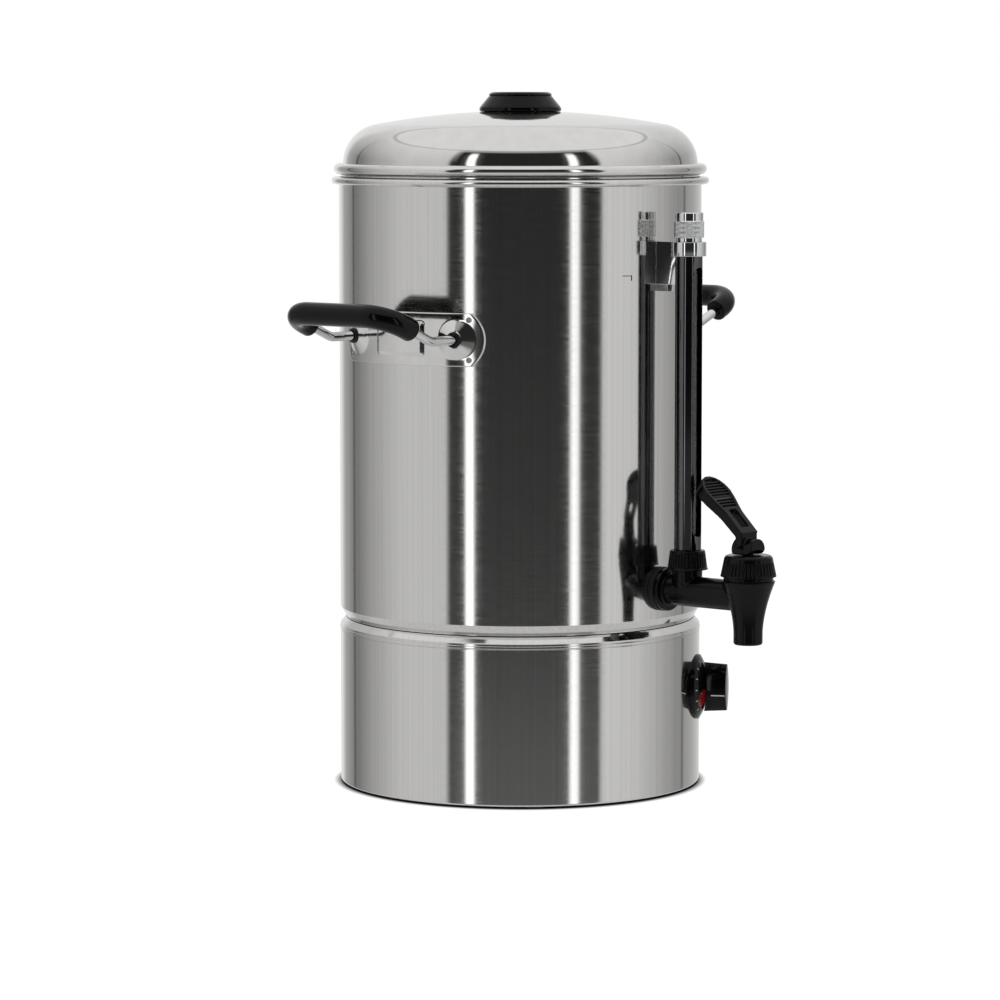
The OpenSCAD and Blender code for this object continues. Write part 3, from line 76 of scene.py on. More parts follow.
GAUGE_D, BRACKET_DROP = 138.0, 39.3
BRACKET_TOP = RIM_Z + RIM_R - BRACKET_DROP
CAP_R, CAP_H = 9.6, 18.5
DIAL_ANGLE, DIAL_Z, DOME_R, BEZEL_R = 28.4, 64.5, 40.0, 21.1
BEZEL_EDGE_T = 1.3
DOME_MID_D = BODY_R + BEZEL_EDGE_T - math.sqrt(DOME_R ** 2 - BEZEL_R ** 2)
DIAL_FACE = 19.7


def linear(hex_colour):
    """Linear colour of an sRGB hex value such as D8D7D5."""
    parts = [int(hex_colour[i:i + 2], 16) / 255 for i in (0, 2, 4)]
    return tuple(p / 12.92 if p <= 0.04045 else ((p + 0.055) / 1.055) ** 2.4 for p in parts) + (1.0,)


def add(tree, kind, sockets=(), **settings):
    """Adds a node: sockets maps each input to a value or to the output that feeds it."""
    made = tree.nodes.new(kind)
    for name, value in settings.items():
        setattr(made, name, value)
    for key, value in dict(sockets).items():
        if isinstance(value, bpy.types.NodeSocket):
            tree.links.new(value, made.inputs[key])
        else:
            made.inputs[key].default_value = value
    return made


# Finishes

def finish(name, **shader):
    """A material with one shader, and its object coordinates scaled to millimetres."""
    made = bpy.data.materials.new(name)
    made.use_nodes = True
    tree = made.node_tree
    bsdf = tree.nodes["Principled BSDF"]
    for key, value in shader.items():
        bsdf.inputs[key.replace("_", " ").title().replace("Ior", "IOR")].default_value = value
    at = add(tree, "ShaderNodeTexCoord")
    mm = add(tree, "ShaderNodeVectorMath", {0: at.outputs["Object"], "Scale": 1 / MM}, operation="SCALE")
    return made, tree, bsdf, mm.outputs[0]


def noise(tree, mm, size, stretch=(1, 1, 1), detail=2.0, rough=0.5):
    """Noise whose grain is size millimetres, drawn out along an axis by a stretch above 1."""
    place = add(tree, "ShaderNodeMapping", {"Vector": mm, "Scale": [1 / (size * s) for s in stretch]})
    return add(tree, "ShaderNodeTexNoise", {"Vector": place.outputs[0], "Scale": 1.0, "Detail": detail,
                                            "Roughness": rough}).outputs["Fac"]


def spread(tree, value, low, high, start=0.0, end=1.0):
    """Maps a share between start and end onto a range."""
    return add(tree, "ShaderNodeMapRange", {"Value": value, "From Min": start, "From Max": end,
                                            "To Min": low, "To Max": high}).outputs[0]


def sums(tree, kind, *values):
    """Chain of one maths operation over sockets or numbers."""
    total = values[0]
    for value in values[1:]:
        total = add(tree, "ShaderNodeMath", {0: total, 1: value}, operation=kind).outputs[0]
    return total


def tint(tree, value, dark, light):
    """A colour between two hex values."""
    made = add(tree, "ShaderNodeMix", {0: value, 6: linear(dark), 7: linear(light)}, data_type="RGBA")
    return made.outputs[2]


def blend(tree, share, a, b):
    """A number between two numbers or sockets."""
    return add(tree, "ShaderNodeMix", {0: share, 2: a, 3: b}, data_type="FLOAT").outputs[0]


def bump(tree, height, depth_mm, bsdf):
    """Raises the surface by a height of depth_mm."""
    made = add(tree, "ShaderNodeBump", {"Height": height, "Strength": 1.0, "Distance": depth_mm * MM})
    tree.links.new(made.outputs[0], bsdf.inputs["Normal"])


def polished_stainless():
    """Rolled stainless sheet: near mirror with faint upright roller lines outside, and satin inside."""
    made, tree, bsdf, mm = finish("polished_stainless", metallic=1.0)
    lines = noise(tree, mm, 1.6, (1, 1, 400), 4.0, 0.7)
    shade = tint(tree, spread(tree, lines, 0, 1, 0.3, 0.7), "D6D5D3", "E2E1DF")
    tree.links.new(shade, bsdf.inputs["Base Color"])
    grain = spread(tree, noise(tree, mm, 0.9, (14, 14, 1), 2.0), 0.06, 0.13, 0.25, 0.75)
    bump(tree, noise(tree, mm, 7, (1, 1, 60), 1.0), 0.003, bsdf)
    flat = add(tree, "ShaderNodeVectorMath", {0: mm, 1: (1, 1, 0)}, operation="MULTIPLY").outputs[0]
    out = add(tree, "ShaderNodeVectorMath", {0: flat}, operation="LENGTH").outputs["Value"]
    height = add(tree, "ShaderNodeSeparateXYZ", {0: mm}).outputs["Z"]
    inside = sums(tree, "MULTIPLY", spread(tree, out, 1.0, 0.0, BODY_R - 0.6, BODY_R - 0.4),
                  spread(tree, height, 0.0, 1.0, LEDGE_TOP, LEDGE_TOP + 1))
    tree.links.new(spread(tree, inside, 1.0, 0.3), bsdf.inputs["Metallic"])
    tree.links.new(blend(tree, inside, grain, 0.45), bsdf.inputs["Roughness"])
    return made


def mirror_steel():
    """Pressed and buffed stainless: a soft mirror with slow waves from the press."""
    made, tree, bsdf, mm = finish("mirror_steel", metallic=1.0)
    tree.links.new(tint(tree, noise(tree, mm, 9), "DAD9D7", "E8E7E5"), bsdf.inputs["Base Color"])
    tree.links.new(spread(tree, noise(tree, mm, 3, (1, 1, 3)), 0.03, 0.09), bsdf.inputs["Roughness"])
    bump(tree, noise(tree, mm, 6, (1, 1, 1), 1.0), 0.01, bsdf)
    return made


def chrome_plate():
    """Bright chrome plate: a clear mirror, very slightly blue."""
    made, tree, bsdf, mm = finish("chrome_plate", metallic=1.0)
    tree.links.new(tint(tree, noise(tree, mm, 8), "DDDEDF", "E9EAEB"), bsdf.inputs["Base Color"])
    tree.links.new(spread(tree, noise(tree, mm, 4), 0.02, 0.06), bsdf.inputs["Roughness"])
    return made


def dark_chrome():
    """Chrome over a blackened tube: a dark mirror."""
    made, tree, bsdf, mm = finish("dark_chrome", metallic=1.0)
    tree.links.new(tint(tree, noise(tree, mm, 8), "58595B", "68696B"), bsdf.inputs["Base Color"])
    tree.links.new(spread(tree, noise(tree, mm, 4), 0.03, 0.08), bsdf.inputs["Roughness"])
    return made


def plain_steel():
    """Zinc-plated and turned steel: dull, with fine tool lines 0.6 mm apart."""
    made, tree, bsdf, mm = finish("plain_steel", metallic=1.0)
    tree.links.new(tint(tree, noise(tree, mm, 5), "8E8F90", "B4B5B6"), bsdf.inputs["Base Color"])
    tree.links.new(spread(tree, noise(tree, mm, 0.6, (6, 6, 1)), 0.25, 0.42), bsdf.inputs["Roughness"])
    return made


def gloss_phenolic():
    """Compression-moulded black phenolic: hard gloss over a black with faint flow marks."""
    made, tree, bsdf, mm = finish("gloss_phenolic", specular_ior_level=0.2)
    tree.links.new(tint(tree, noise(tree, mm, 11), "040404", "070707"), bsdf.inputs["Base Color"])
    tree.links.new(spread(tree, noise(tree, mm, 5, (1, 1, 1), 3.0), 0.07, 0.16), bsdf.inputs["Roughness"])
    bump(tree, noise(tree, mm, 2.5), 0.008, bsdf)
    return made


def tap_nylon():
    """Injection-moulded black nylon: satin, with spark-eroded texture of 0.4 mm grain."""
    made, tree, bsdf, mm = finish("tap_nylon", specular_ior_level=0.18)
    tree.links.new(tint(tree, noise(tree, mm, 6), "050505", "0A0A0A"), bsdf.inputs["Base Color"])
    tree.links.new(spread(tree, noise(tree, mm, 3.5, (1, 1, 1), 3.0), 0.13, 0.25), bsdf.inputs["Roughness"])
    bump(tree, noise(tree, mm, 0.5, (1, 1, 1), 2.0), 0.02, bsdf)
    return made


def black_rubber():
    """Moulded rubber: matt, slightly grey."""
    made, tree, bsdf, mm = finish("black_rubber", specular_ior_level=0.35)
    tree.links.new(tint(tree, noise(tree, mm, 4), "070707", "0E0E0E"), bsdf.inputs["Base Color"])
    tree.links.new(spread(tree, noise(tree, mm, 1.5), 0.5, 0.7), bsdf.inputs["Roughness"])
    bump(tree, noise(tree, mm, 0.5), 0.02, bsdf)
    return made


def moulded(name, dark, light, rough):
    """A plain moulded or cast finish between two colours, with a little variation in its gloss."""
    made, tree, bsdf, mm = finish(name)
    tree.links.new(tint(tree, noise(tree, mm, 5), dark, light), bsdf.inputs["Base Color"])
    tree.links.new(spread(tree, noise(tree, mm, 2), rough - 0.08, rough + 0.08), bsdf.inputs["Roughness"])
    bump(tree, noise(tree, mm, 0.7), 0.02, bsdf)
    return made


def bare_metal(name, dark, light, rough):
    """Turned or drawn metal between two colours, with a little variation in its gloss."""
    made = moulded(name, dark, light, rough)
    made.node_tree.nodes["Principled BSDF"].inputs["Metallic"].default_value = 1.0
    return made


def sight_tube():
    """Clear borosilicate tube: water-clear, with a faint smear that roughens it a little."""
    made, tree, bsdf, mm = finish("sight_tube", base_color=linear("F4F8F8"), transmission_weight=1.0,
                                  ior=1.47)
    tree.links.new(spread(tree, noise(tree, mm, 6, (1, 1, 5)), 0.0, 0.04), bsdf.inputs["Roughness"])
    return made


def red_lens():
    """Clear red polycarbonate lens over a dark lamp: deep red with a hard gloss."""
    made, tree, bsdf, mm = finish("red_lens", specular_ior_level=0.6, coat_weight=0.6, coat_roughness=0.05)
    tree.links.new(tint(tree, noise(tree, mm, 2.2), "4A0304", "8C0C0C"), bsdf.inputs["Base Color"])
    tree.links.new(spread(tree, noise(tree, mm, 1.5), 0.1, 0.2), bsdf.inputs["Roughness"])
    return made


def printed(name, dark, light):
    """Pad-printed ink: flat, with a faintly uneven film."""
    made, tree, bsdf, mm = finish(name)
    tree.links.new(tint(tree, noise(tree, mm, 0.6), dark, light), bsdf.inputs["Base Color"])
    tree.links.new(spread(tree, noise(tree, mm, 0.5), 0.4, 0.6), bsdf.inputs["Roughness"])
    return made


SLOT_FINISH = {
    "polished_steel": polished_stainless(), "bright_steel": chrome_plate(), "plain_steel": plain_steel(),
    "black_gloss": gloss_phenolic(), "black_plastic": tap_nylon(), "black_rubber": black_rubber(),
    "seal_silicone": moulded("seal_silicone", "CFCDC6", "E2E0DA", 0.5),
    "brass": bare_metal("turned_brass", "B08A45", "D0AC66", 0.3),
    "copper": bare_metal("drawn_copper", "A86440", "C98560", 0.3),
    "sheath_steel": bare_metal("heated_sheath", "4A4744", "6B6762", 0.4),
    "switch_plastic": moulded("brown_phenolic", "3A2218", "523226", 0.4),
    "terminal_plastic": moulded("cream_nylon", "D6D1C2", "E6E2D4", 0.45),
    "gauge_glass": sight_tube(), "red_lens": red_lens(),
}
MIRROR, DARK_CHROME = mirror_steel(), dark_chrome()

# Building

def turned(angle, d=0.0, z=0.0):
    """Frame round the axis: local +Z points outward and +Y up, and angle 0 is the tap side."""
    return Matrix.Rotation(math.radians(angle), 4, "Z") @ Matrix.Translation((0, -d, z)) \
        @ Matrix.Rotation(math.radians(90), 4, "X")


def build(name, points, faces, material, body, slot, *nodes, sharp=30):
    """A piece from points in millimetres that rides on a body and stands for CAD nodes."""
    mesh = bpy.data.meshes.new(name)
    mesh.from_pydata([Vector(p) * MM for p in points], [], faces)
    form = bmesh.new()
    form.from_mesh(mesh)
    bmesh.ops.remove_doubles(form, verts=form.verts, dist=0.002 * MM)
    bmesh.ops.recalc_face_normals(form, faces=form.faces)
    form.to_mesh(mesh)
    form.free()
    return show(name, mesh, material, body, slot, *nodes, sharp=sharp)


def show(name, mesh, material, body, slot, *nodes, sharp=30):
    """Shades a mesh, gives it its finish, hangs it on its body and hides the CAD nodes it stands for."""
    mesh.shade_smooth()
    mesh.set_sharp_from_angle(angle=math.radians(sharp))
    mesh.materials.clear()
    mesh.materials.append(material)
    made = bpy.data.objects.new(name, mesh)
    bpy.context.collection.objects.link(made)
    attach(made, body)
    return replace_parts(made, *nodes) if nodes else made


def arc(cx, cy, r, start, end, steps):
    """Points of a circular arc between two angles in degrees."""
    return [(cx + r * math.cos(math.radians(start + (end - start) * i / steps)),
             cy + r * math.sin(math.radians(start + (end - start) * i / steps))) for i in range(steps + 1)]


def rounded(loop, radius, steps=3, least=20):
    """Rounds every corner of a closed outline that turns by more than least degrees."""
    out = []
    for i, at in enumerate(loop):
        at, before, after = Vector(at), Vector(loop[i - 1]), Vector(loop[(i + 1) % len(loop)])
        back, on = before - at, after - at
        if back.length < 1e-6 or on.length < 1e-6:
            continue
        turn = math.pi - back.angle(on)
        if math.degrees(turn) < least or at.x < 1e-6:
            out.append(tuple(at))
            continue
        cut = min(radius * math.tan(turn / 2), 0.42 * back.length, 0.42 * on.length)
        a, b = at + back.normalized() * cut, at + on.normalized() * cut
        for k in range(steps + 1):
            t = k / steps
            out.append(tuple(a * (1 - t) ** 2 + at * 2 * t * (1 - t) + b * t * t))
    return out


def supported(loop, near=0.4, least=3.0):
    """Adds a point near each end of the long straights, so that smooth shading stays true on them."""
    out = []
    for i, at in enumerate(loop):
        at, after = Vector(at), Vector(loop[(i + 1) % len(loop)])
        out.append(tuple(at))
        step = after - at
        if step.length > least:
            out += [tuple(at + step.normalized() * near), tuple(after - step.normalized() * near)]
    return out


def lathe(name, profile, material, body, slot, *nodes, place=Matrix(), sides=256, round_r=0.2, sharp=40):
    """Turns a closed outline of (radius, height) about local Z."""
    loop = supported(rounded(profile, round_r)) if round_r else profile
    points = [place @ Vector((r * math.cos(a), r * math.sin(a), z))
              for k in range(sides) for a in [2 * math.pi * k / sides] for r, z in loop]
    n = len(loop)
    faces = []
    for k in range(sides):
        for i in range(n):
            j, on = (i + 1) % n, (k + 1) % sides
            if loop[i][0] < 1e-6 and loop[j][0] < 1e-6:
                continue
            quad = [k * n + i, on * n + i, on * n + j, k * n + j]
            if loop[i][0] < 1e-6:
                quad.remove(on * n + i)
            if loop[j][0] < 1e-6:
                quad.remove(on * n + j)
            faces.append(quad)
    return build(name, points, faces, material, body, slot, *nodes, sharp=sharp)


def swept(name, path, stations, material, body, slot, *nodes, place=Matrix(), sides=48):
    """Round section swept along a polyline; stations are (length along the path, radius)."""
    path = [Vector(p) for p in path]
    lengths = [0.0]
    for a, b in zip(path, path[1:]):
        lengths.append(lengths[-1] + (b - a).length)
    points, faces = [], []
    for s, r in stations:
        i = max(k for k in range(len(path) - 1) if lengths[k] <= s + 1e-6)
        share = (s - lengths[i]) / (lengths[i + 1] - lengths[i])
        way = (path[i + 1] - path[i]).normalized()
        if share < 0.01 and i:
            way = (way + (path[i] - path[i - 1]).normalized()).normalized()
        at = path[i].lerp(path[i + 1], share)
        side = way.cross(Vector((0, 0, 1))).normalized()
        up = side.cross(way)
        points += [place @ (at + side * r * math.cos(a) + up * r * math.sin(a))
                   for k in range(sides) for a in [2 * math.pi * k / sides]]
    rings = len(stations)
    for i in range(rings - 1):
        low, high = i * sides, (i + 1) * sides
        faces += [[low + k, low + (k + 1) % sides, high + (k + 1) % sides, high + k] for k in range(sides)]
    faces += [list(range(sides)), list(range((rings - 1) * sides, rings * sides))]
    return build(name, points, faces, material, body, slot, *nodes)


# Tank, base and lid: sheet turned about the axis

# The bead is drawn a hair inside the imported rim, whose facets lie inside its true circle
RIM_TRIM, RIM_LIP = 0.02, 0.15
WALL_IN = BODY_R - SHEET
BEAD = arc(BODY_R + RIM_OUT - RIM_TRIM, RIM_Z, RIM_R, -90, 90, 16)
lathe("tank_wall", [(FLANGE_R, TANK_Z), (LEDGE_R, TANK_Z), (LEDGE_R, TANK_Z + JOINT), (BODY_R, LEDGE_TOP),
                    (BODY_R, RIM_Z - RIM_R)] + BEAD
      + [(WALL_IN + RIM_LIP, RIM_Z + RIM_R), (WALL_IN, RIM_Z + RIM_R - RIM_LIP), (WALL_IN, LEDGE_TOP + 0.27),
         (LEDGE_R - 0.87, TANK_Z + SHEET), (FLANGE_R, TANK_Z + SHEET)],
      SLOT_FINISH["polished_steel"], "urn", "polished_steel", "tank_shell")

# A raised band between two grooves runs round the base under its ledge
SEAM_Z, SWAGE, GROOVE, GROOVE_W, BAND_W, HEM_R = 100.7, 0.3, 0.5, 0.7, 1.6, 1.1
BAND_LOW = SEAM_Z + GROOVE_W
BAND_HIGH = BAND_LOW + BAND_W
BAND_END = BAND_HIGH + 1.5
HEM_IN, FLOOR_RISE, FLOOR_IN = 2.0, 6.0, 92.0
lathe("base_wall", [(BODY_R - HEM_IN, HEM_GAP)] + arc(BODY_R - HEM_R, HEM_GAP + HEM_R, HEM_R, -90, 0, 8)
      + [(BODY_R, SEAM_Z), (BODY_R - GROOVE, SEAM_Z), (BODY_R - GROOVE, BAND_LOW), (BODY_R + SWAGE, BAND_LOW),
         (BODY_R + SWAGE, BAND_HIGH), (BODY_R - GROOVE, BAND_HIGH), (BODY_R - GROOVE, BAND_END),
         (BODY_R, BAND_END), (LEDGE_R, BASE_TOP), (FLANGE_R, BASE_TOP), (FLANGE_R, BASE_TOP - SHEET),
         (LEDGE_R - 0.5, BASE_TOP - SHEET), (WALL_IN, BAND_END - 0.5), (WALL_IN, FLOOR_RISE + SHEET),
         (FLOOR_IN, FLOOR_RISE + SHEET), (FLOOR_IN, FLOOR_RISE), (BODY_R - HEM_IN, FLOOR_RISE)],
      SLOT_FINISH["polished_steel"], "urn", "polished_steel", "base_shell", round_r=0.3)
lathe("joint_gasket", [(FLANGE_R, BASE_TOP), (LEDGE_R, BASE_TOP), (LEDGE_R, TANK_Z), (FLANGE_R, TANK_Z)],
      SLOT_FINISH["black_rubber"], "urn", "black_rubber", "joint_ring", round_r=0.08)

SHOULDER_R = LID_WALL_R - LID_SHOULDER
SHOULDER_TURN = math.degrees(math.acos(SHOULDER_R / (LID_CROWN - LID_SHOULDER)))
BEAD_MID = LID_BEAD_OUT - LID_BEAD_R
BEAD_TURN = 180 - math.degrees(math.acos((BEAD_MID - LID_WALL_R) / LID_BEAD_R))
LID_REST_W, LID_REST_H = 0.8, 0.9
lathe("lid_dome", [(SKIRT_R, LID_FOOT - SKIRT_H), (SKIRT_R, LID_FOOT), (SKIRT_R + LID_REST_W, LID_FOOT),
                   (SKIRT_R + LID_REST_W, LID_FOOT + LID_REST_H)]
      + arc(BEAD_MID, LID_BEAD_Z, LID_BEAD_R, -90, BEAD_TURN, 26)
      + arc(SHOULDER_R, LID_SHOULDER_Z, LID_SHOULDER, 0, SHOULDER_TURN, 28)
      + arc(0, CROWN_Z, LID_CROWN, SHOULDER_TURN + 0.4, 90, 14)[:-1] + [(0, LID_TOP), (0, LID_TOP - LID_T)]
      + arc(0, CROWN_Z, LID_CROWN - LID_T, 90, SHOULDER_TURN + 0.4, 8)[1:]
      + arc(SHOULDER_R, LID_SHOULDER_Z, LID_SHOULDER - LID_T, SHOULDER_TURN, 0, 10)
      + [(LID_WALL_R - LID_T, LID_FOOT - SKIRT_H)],
      MIRROR, "lid", "polished_steel", "lid_shell", round_r=0.15)

CAP_TURN_R, GROOVE_Z = 0.77 * KNOB_R, KNOB_Z + 0.76 * KNOB_H
TOP_R, KNOB_RIM_Z = 0.64 * KNOB_R, LID_TOP - KNOB_SINK
KNOB_WALL, KNOB_EDGE, KNOB_TURN_R, KNOB_SLOPE, KNOB_GROOVE = 3.0, 0.8, 3.2, 38.7, 0.4
KNOB_TOP, CAP_EDGE_Z = KNOB_Z + KNOB_H, GROOVE_Z + KNOB_GROOVE
lathe("lid_grip", [(0, KNOB_Z), (KNOB_R - KNOB_WALL, KNOB_Z), (KNOB_R - KNOB_WALL, KNOB_RIM_Z),
                   (KNOB_R - KNOB_EDGE, KNOB_RIM_Z), (KNOB_R, KNOB_RIM_Z + KNOB_EDGE)]
      + arc(KNOB_R - KNOB_TURN_R, KNOB_Z, KNOB_TURN_R, 0, KNOB_SLOPE, 8)
      + [(CAP_TURN_R + 0.3, GROOVE_Z - KNOB_GROOVE), (CAP_TURN_R, GROOVE_Z),
         (CAP_TURN_R - KNOB_GROOVE, GROOVE_Z), (CAP_TURN_R - KNOB_GROOVE, CAP_EDGE_Z)]
      + [(TOP_R + (CAP_TURN_R - TOP_R) * math.cos(math.radians(a)),
          CAP_EDGE_Z + (KNOB_TOP - CAP_EDGE_Z) * math.sin(math.radians(a))) for a in range(0, 91, 10)]
      + [(0, KNOB_TOP)],
      SLOT_FINISH["black_gloss"], "lid", "black_gloss", "lid_knob", sides=160)


# Handles, drawn at the tap side and turned to the left and right

SLOPE = math.atan((GRIP_Z - ROD_Z) / (GRIP_D - ROD_BEND_D))
ARM_L = (GRIP_D - ROD_BEND_D) / math.cos(SLOPE)
BEND_TAKE = ROD_BEND_R * math.tan(SLOPE / 2)
ROOT_D = math.sqrt(BODY_R ** 2 - (ROD_HALF - ROD_R) ** 2) + 0.3


def handle_path(root):
    """Middle line of a handle: out through the plate, up the slope, across and back."""
    def on_slope(x, length):
        return (x, -ROD_BEND_D - length * math.cos(SLOPE), ROD_Z + length * math.sin(SLOPE))
    half = []
    if root:
        half.append((ROD_HALF, -ROOT_D, ROD_Z))
        half += [(ROD_HALF, -ROD_BEND_D + BEND_TAKE - ROD_BEND_R * math.sin(a),
                  ROD_Z + ROD_BEND_R * (1 - math.cos(a))) for k in range(9) for a in [SLOPE * k / 8]]
    else:
        half.append(on_slope(ROD_HALF, ARM_L * GRIP_END_SHARE))
    half += [on_slope(ROD_HALF - GRIP_CORNER * (1 - math.cos(a)), ARM_L - GRIP_CORNER * (1 - math.sin(a)))
             for k in range(19) for a in [math.pi / 2 * k / 18]]
    return half + [(-x, y, z) for x, y, z in reversed(half)]


def stations(path, ends, r):
    """Every corner of the path at one radius, with its ends shaped by (length from the end, radius)."""
    path = [Vector(p) for p in path]
    lengths = [0.0]
    for a, b in zip(path, path[1:]):
        lengths.append(lengths[-1] + (b - a).length)
    whole, reach = lengths[-1], ends[-1][0]
    middle = [(s, r) for s in lengths if reach + 0.5 < s < whole - reach - 0.5]
    return ends + middle + [(whole - s, e) for s, e in reversed(ends)]


# Ends of the rod and of the grip, as (length from the end, radius)
GRIP_TURN_R = 2.0
ROD_END = [(0.0, ROD_R - 0.4), (0.4, ROD_R), (1.0, ROD_R)]
GRIP_HOLE = [(2.5, ROD_R + FIT), (0.4, ROD_R + FIT), (0.0, ROD_R + 0.5)]
GRIP_EDGE = [(GRIP_TURN_R - x, GRIP_R - GRIP_TURN_R + y) for x, y in arc(0, 0, GRIP_TURN_R, 0, 90, 6)]
GRIP_END = GRIP_HOLE + GRIP_EDGE + [(GRIP_TURN_R + 0.6, GRIP_R)]
for word, turn in (("left", -90), ("right", 90)):
    side = Matrix.Rotation(math.radians(turn), 4, "Z")
    path = handle_path(True)
    swept("handle_wire_" + word, path, stations(path, ROD_END, ROD_R),
          SLOT_FINISH["bright_steel"], "urn", "bright_steel", "handle_rod_" + word, place=side)
    path = handle_path(False)
    swept("handle_tube_" + word, path, stations(path, GRIP_END, GRIP_R),
          SLOT_FINISH["black_gloss"], "urn", "black_gloss", "handle_grip_" + word, place=side)


# Handle plates: sheet pressed into a raised pad and two cones, laid out flat and wrapped on the tank

PAD_W, PAD_H, PAD_CORNER, PAD_RISE, PAD_SLOPE = 40.0, 22.5, 3.0, 1.4, 3.0
END_R = 1.33 * PLATE_H / 2
END_X = PLATE_R * math.sin(math.radians(PLATE_HALF_ANGLE)) - math.sqrt(END_R ** 2 - PLATE_H ** 2 / 4)
EDGE = 0.6
# Closest that a point of the grid may lie to a ring
NEAREST = math.sqrt(1.4)


def eased(t, soft=0.1):
    """A straight ramp from 0 to 1 with both ends rounded."""
    t = min(1.0, max(0.0, t))
    if t > 0.5:
        return 1 - eased(1 - t, soft)
    return (t * t / (2 * soft) if t < soft else t - soft / 2) / (1 - soft)


def inside_plate(x, y):
    """Distance from the edge of the plate inward."""
    side = PLATE_H / 2 - abs(y)
    return min(side, END_R - math.hypot(abs(x) - END_X, y)) if abs(x) > END_X else side


def inside_pad(x, y):
    """Distance from the foot of the pad inward."""
    dx, dy = abs(x) - PAD_W / 2 + PAD_CORNER, abs(y) - PAD_H / 2 + PAD_CORNER
    return PAD_CORNER - math.hypot(max(dx, 0), max(dy, 0)) - min(0, max(dx, dy))


def plate_ring(inset):
    """Outline of the plate, moved inward."""
    half, reach = PLATE_H / 2 - inset, END_R - inset
    turn = math.degrees(math.asin(half / reach))
    right = arc(END_X, 0, reach, -turn, turn, 26)
    left = [(-x, -y) for x, y in right]
    gap = 2 * right[0][0]
    count = int(gap / 2.5)
    top = [(right[-1][0] - gap * k / count, half) for k in range(1, count)]
    return right + top + left + [(-x, -y) for x, y in top]


def pad_ring(inset):
    """Outline of the foot of the pad, moved inward."""
    r = max(PAD_CORNER - inset, 0.3)
    w, h = PAD_W / 2 - inset - r, PAD_H / 2 - inset - r
    out = []
    for cx, cy, start in ((w, h, 0), (-w, h, 90), (-w, -h, 180), (w, -h, 270)):
        out += arc(cx, cy, r, start, start + 90, 6)
    return split(out, 2.5)


def split(loop, step):
    """Cuts the long sides of a closed outline into steps."""
    out = []
    for a, b in zip(loop, loop[1:] + loop[:1]):
        count = max(1, int(math.dist(a, b) / step))
        out += [tuple(Vector(a).lerp(Vector(b), k / count)) for k in range(count)]
    return out


def cone_ring(side, r):
    """Circle round a cone, laid out flat."""
    turn = math.radians(side * ROD_ANGLE)
    return [(math.cos(turn) * l + math.sin(turn) * math.sqrt(PLATE_R ** 2 - l * l), r * math.sin(a))
            for k in range(56) for a in [2 * math.pi * k / 56] for l in [r * math.cos(a)]]


def on_plate(x, y, lower):
    """Place of a point of the flat layout on the outer face, or on the inner face."""
    edge = min(EDGE, inside_plate(x, y))
    lift = PAD_RISE * eased(inside_pad(x, y) / PAD_SLOPE) - EDGE
    lift += math.sqrt(max(0, EDGE ** 2 - (EDGE - edge) ** 2))
    if lower:
        lift = max(lift - PLATE_T, -PLATE_T)
    r = PLATE_R + lift
    at = Vector((x, -math.sqrt(r * r - x * x), ROD_Z + y))
    for side in (-1, 1):
        turn = math.radians(side * ROD_ANGLE)
        out = Vector((math.sin(turn), -math.cos(turn), 0))
        across = Vector((math.cos(turn), math.sin(turn), 0))
        rise = eased((CONE_R - math.hypot(at.dot(across), y)) / (CONE_R - CONE_TOP_R), 0.06)
        top = PLATE_R + CONE_H - (PLATE_T if lower else 0)
        at += out * (top - at.dot(out)) * rise
    return at


def handle_plate(word, turn):
    """One plate: rings along its edges and folds with a grid between them, cut into triangles and wrapped."""
    flat, ties = [], []
    circle = arc(0, 0, ROD_R + FIT, 0, 360, 32)[:-1]
    holes = [[(side * ROD_HALF + x, y) for x, y in circle] for side in (-1, 1)]
    rings = [plate_ring(inset) for inset in (0, 0.15, 0.35, EDGE, 1.2)]
    rings += [pad_ring(PAD_SLOPE * share) for share in (-0.25, 0, 0.1, 0.25, 0.5, 0.75, 0.9, 1, 1.25)]
    rings += [cone_ring(side, r) for side in (-1, 1)
              for r in (CONE_R + 0.8, CONE_R, CONE_R - 0.4, CONE_R - 1, 10.5, 9, 7.5, 6.2, 5.6, 5.2, 4.6)]
    for ring in rings + holes:
        ties += [(len(flat) + i, len(flat) + (i + 1) % len(ring)) for i in range(len(ring))]
        flat += ring
    for x in range(-56, 57, 3):
        for y in range(-15, 16, 3):
            clear = all((x - a) ** 2 + (y - b) ** 2 > NEAREST ** 2 for a, b in flat)
            if clear and inside_plate(x, y) > 1.5 and math.hypot(abs(x) - ROD_HALF, y) > ROD_R:
                flat.append((float(x), float(y)))
    spots, _, cells, *_ = delaunay_2d_cdt([Vector(p) for p in flat], ties, [], 0, 1e-5)
    kept = []
    for cell in cells:
        mid = sum((spots[i] for i in cell), Vector((0, 0))) / len(cell)
        if inside_plate(*mid) > -0.01 and math.hypot(abs(mid.x) - ROD_HALF, mid.y) > ROD_R + FIT - 0.02:
            kept.append(list(cell))
    place = Matrix.Rotation(math.radians(turn), 4, "Z")
    points = [place @ on_plate(p.x, p.y, lower) for lower in (False, True) for p in spots]
    n = len(spots)
    seen = {pair: True for cell in kept for pair in zip(cell, cell[1:] + cell[:1])}
    rim = [(a, b) for a, b in seen if (b, a) not in seen]
    faces = kept + [[n + i for i in reversed(cell)] for cell in kept] + [[b, a, n + a, n + b] for a, b in rim]
    build("handle_plate_pressed_" + word, points, faces, MIRROR, "urn", "bright_steel",
          "handle_plate_" + word, sharp=50)


handle_plate("left", -90)
handle_plate("right", 90)


# Sight gauge: the knurled cap

CAP_Z, NECK_R, NECK_H, KNURL_TOP, TOP_EDGE_R = BRACKET_TOP, 8.2, 2.5, 13.2, 9.0
KNURL_CHAMFER, KNURL_ROWS, KNURL_TEETH, KNURL_DEPTH = 0.5, 34, 48, 0.35


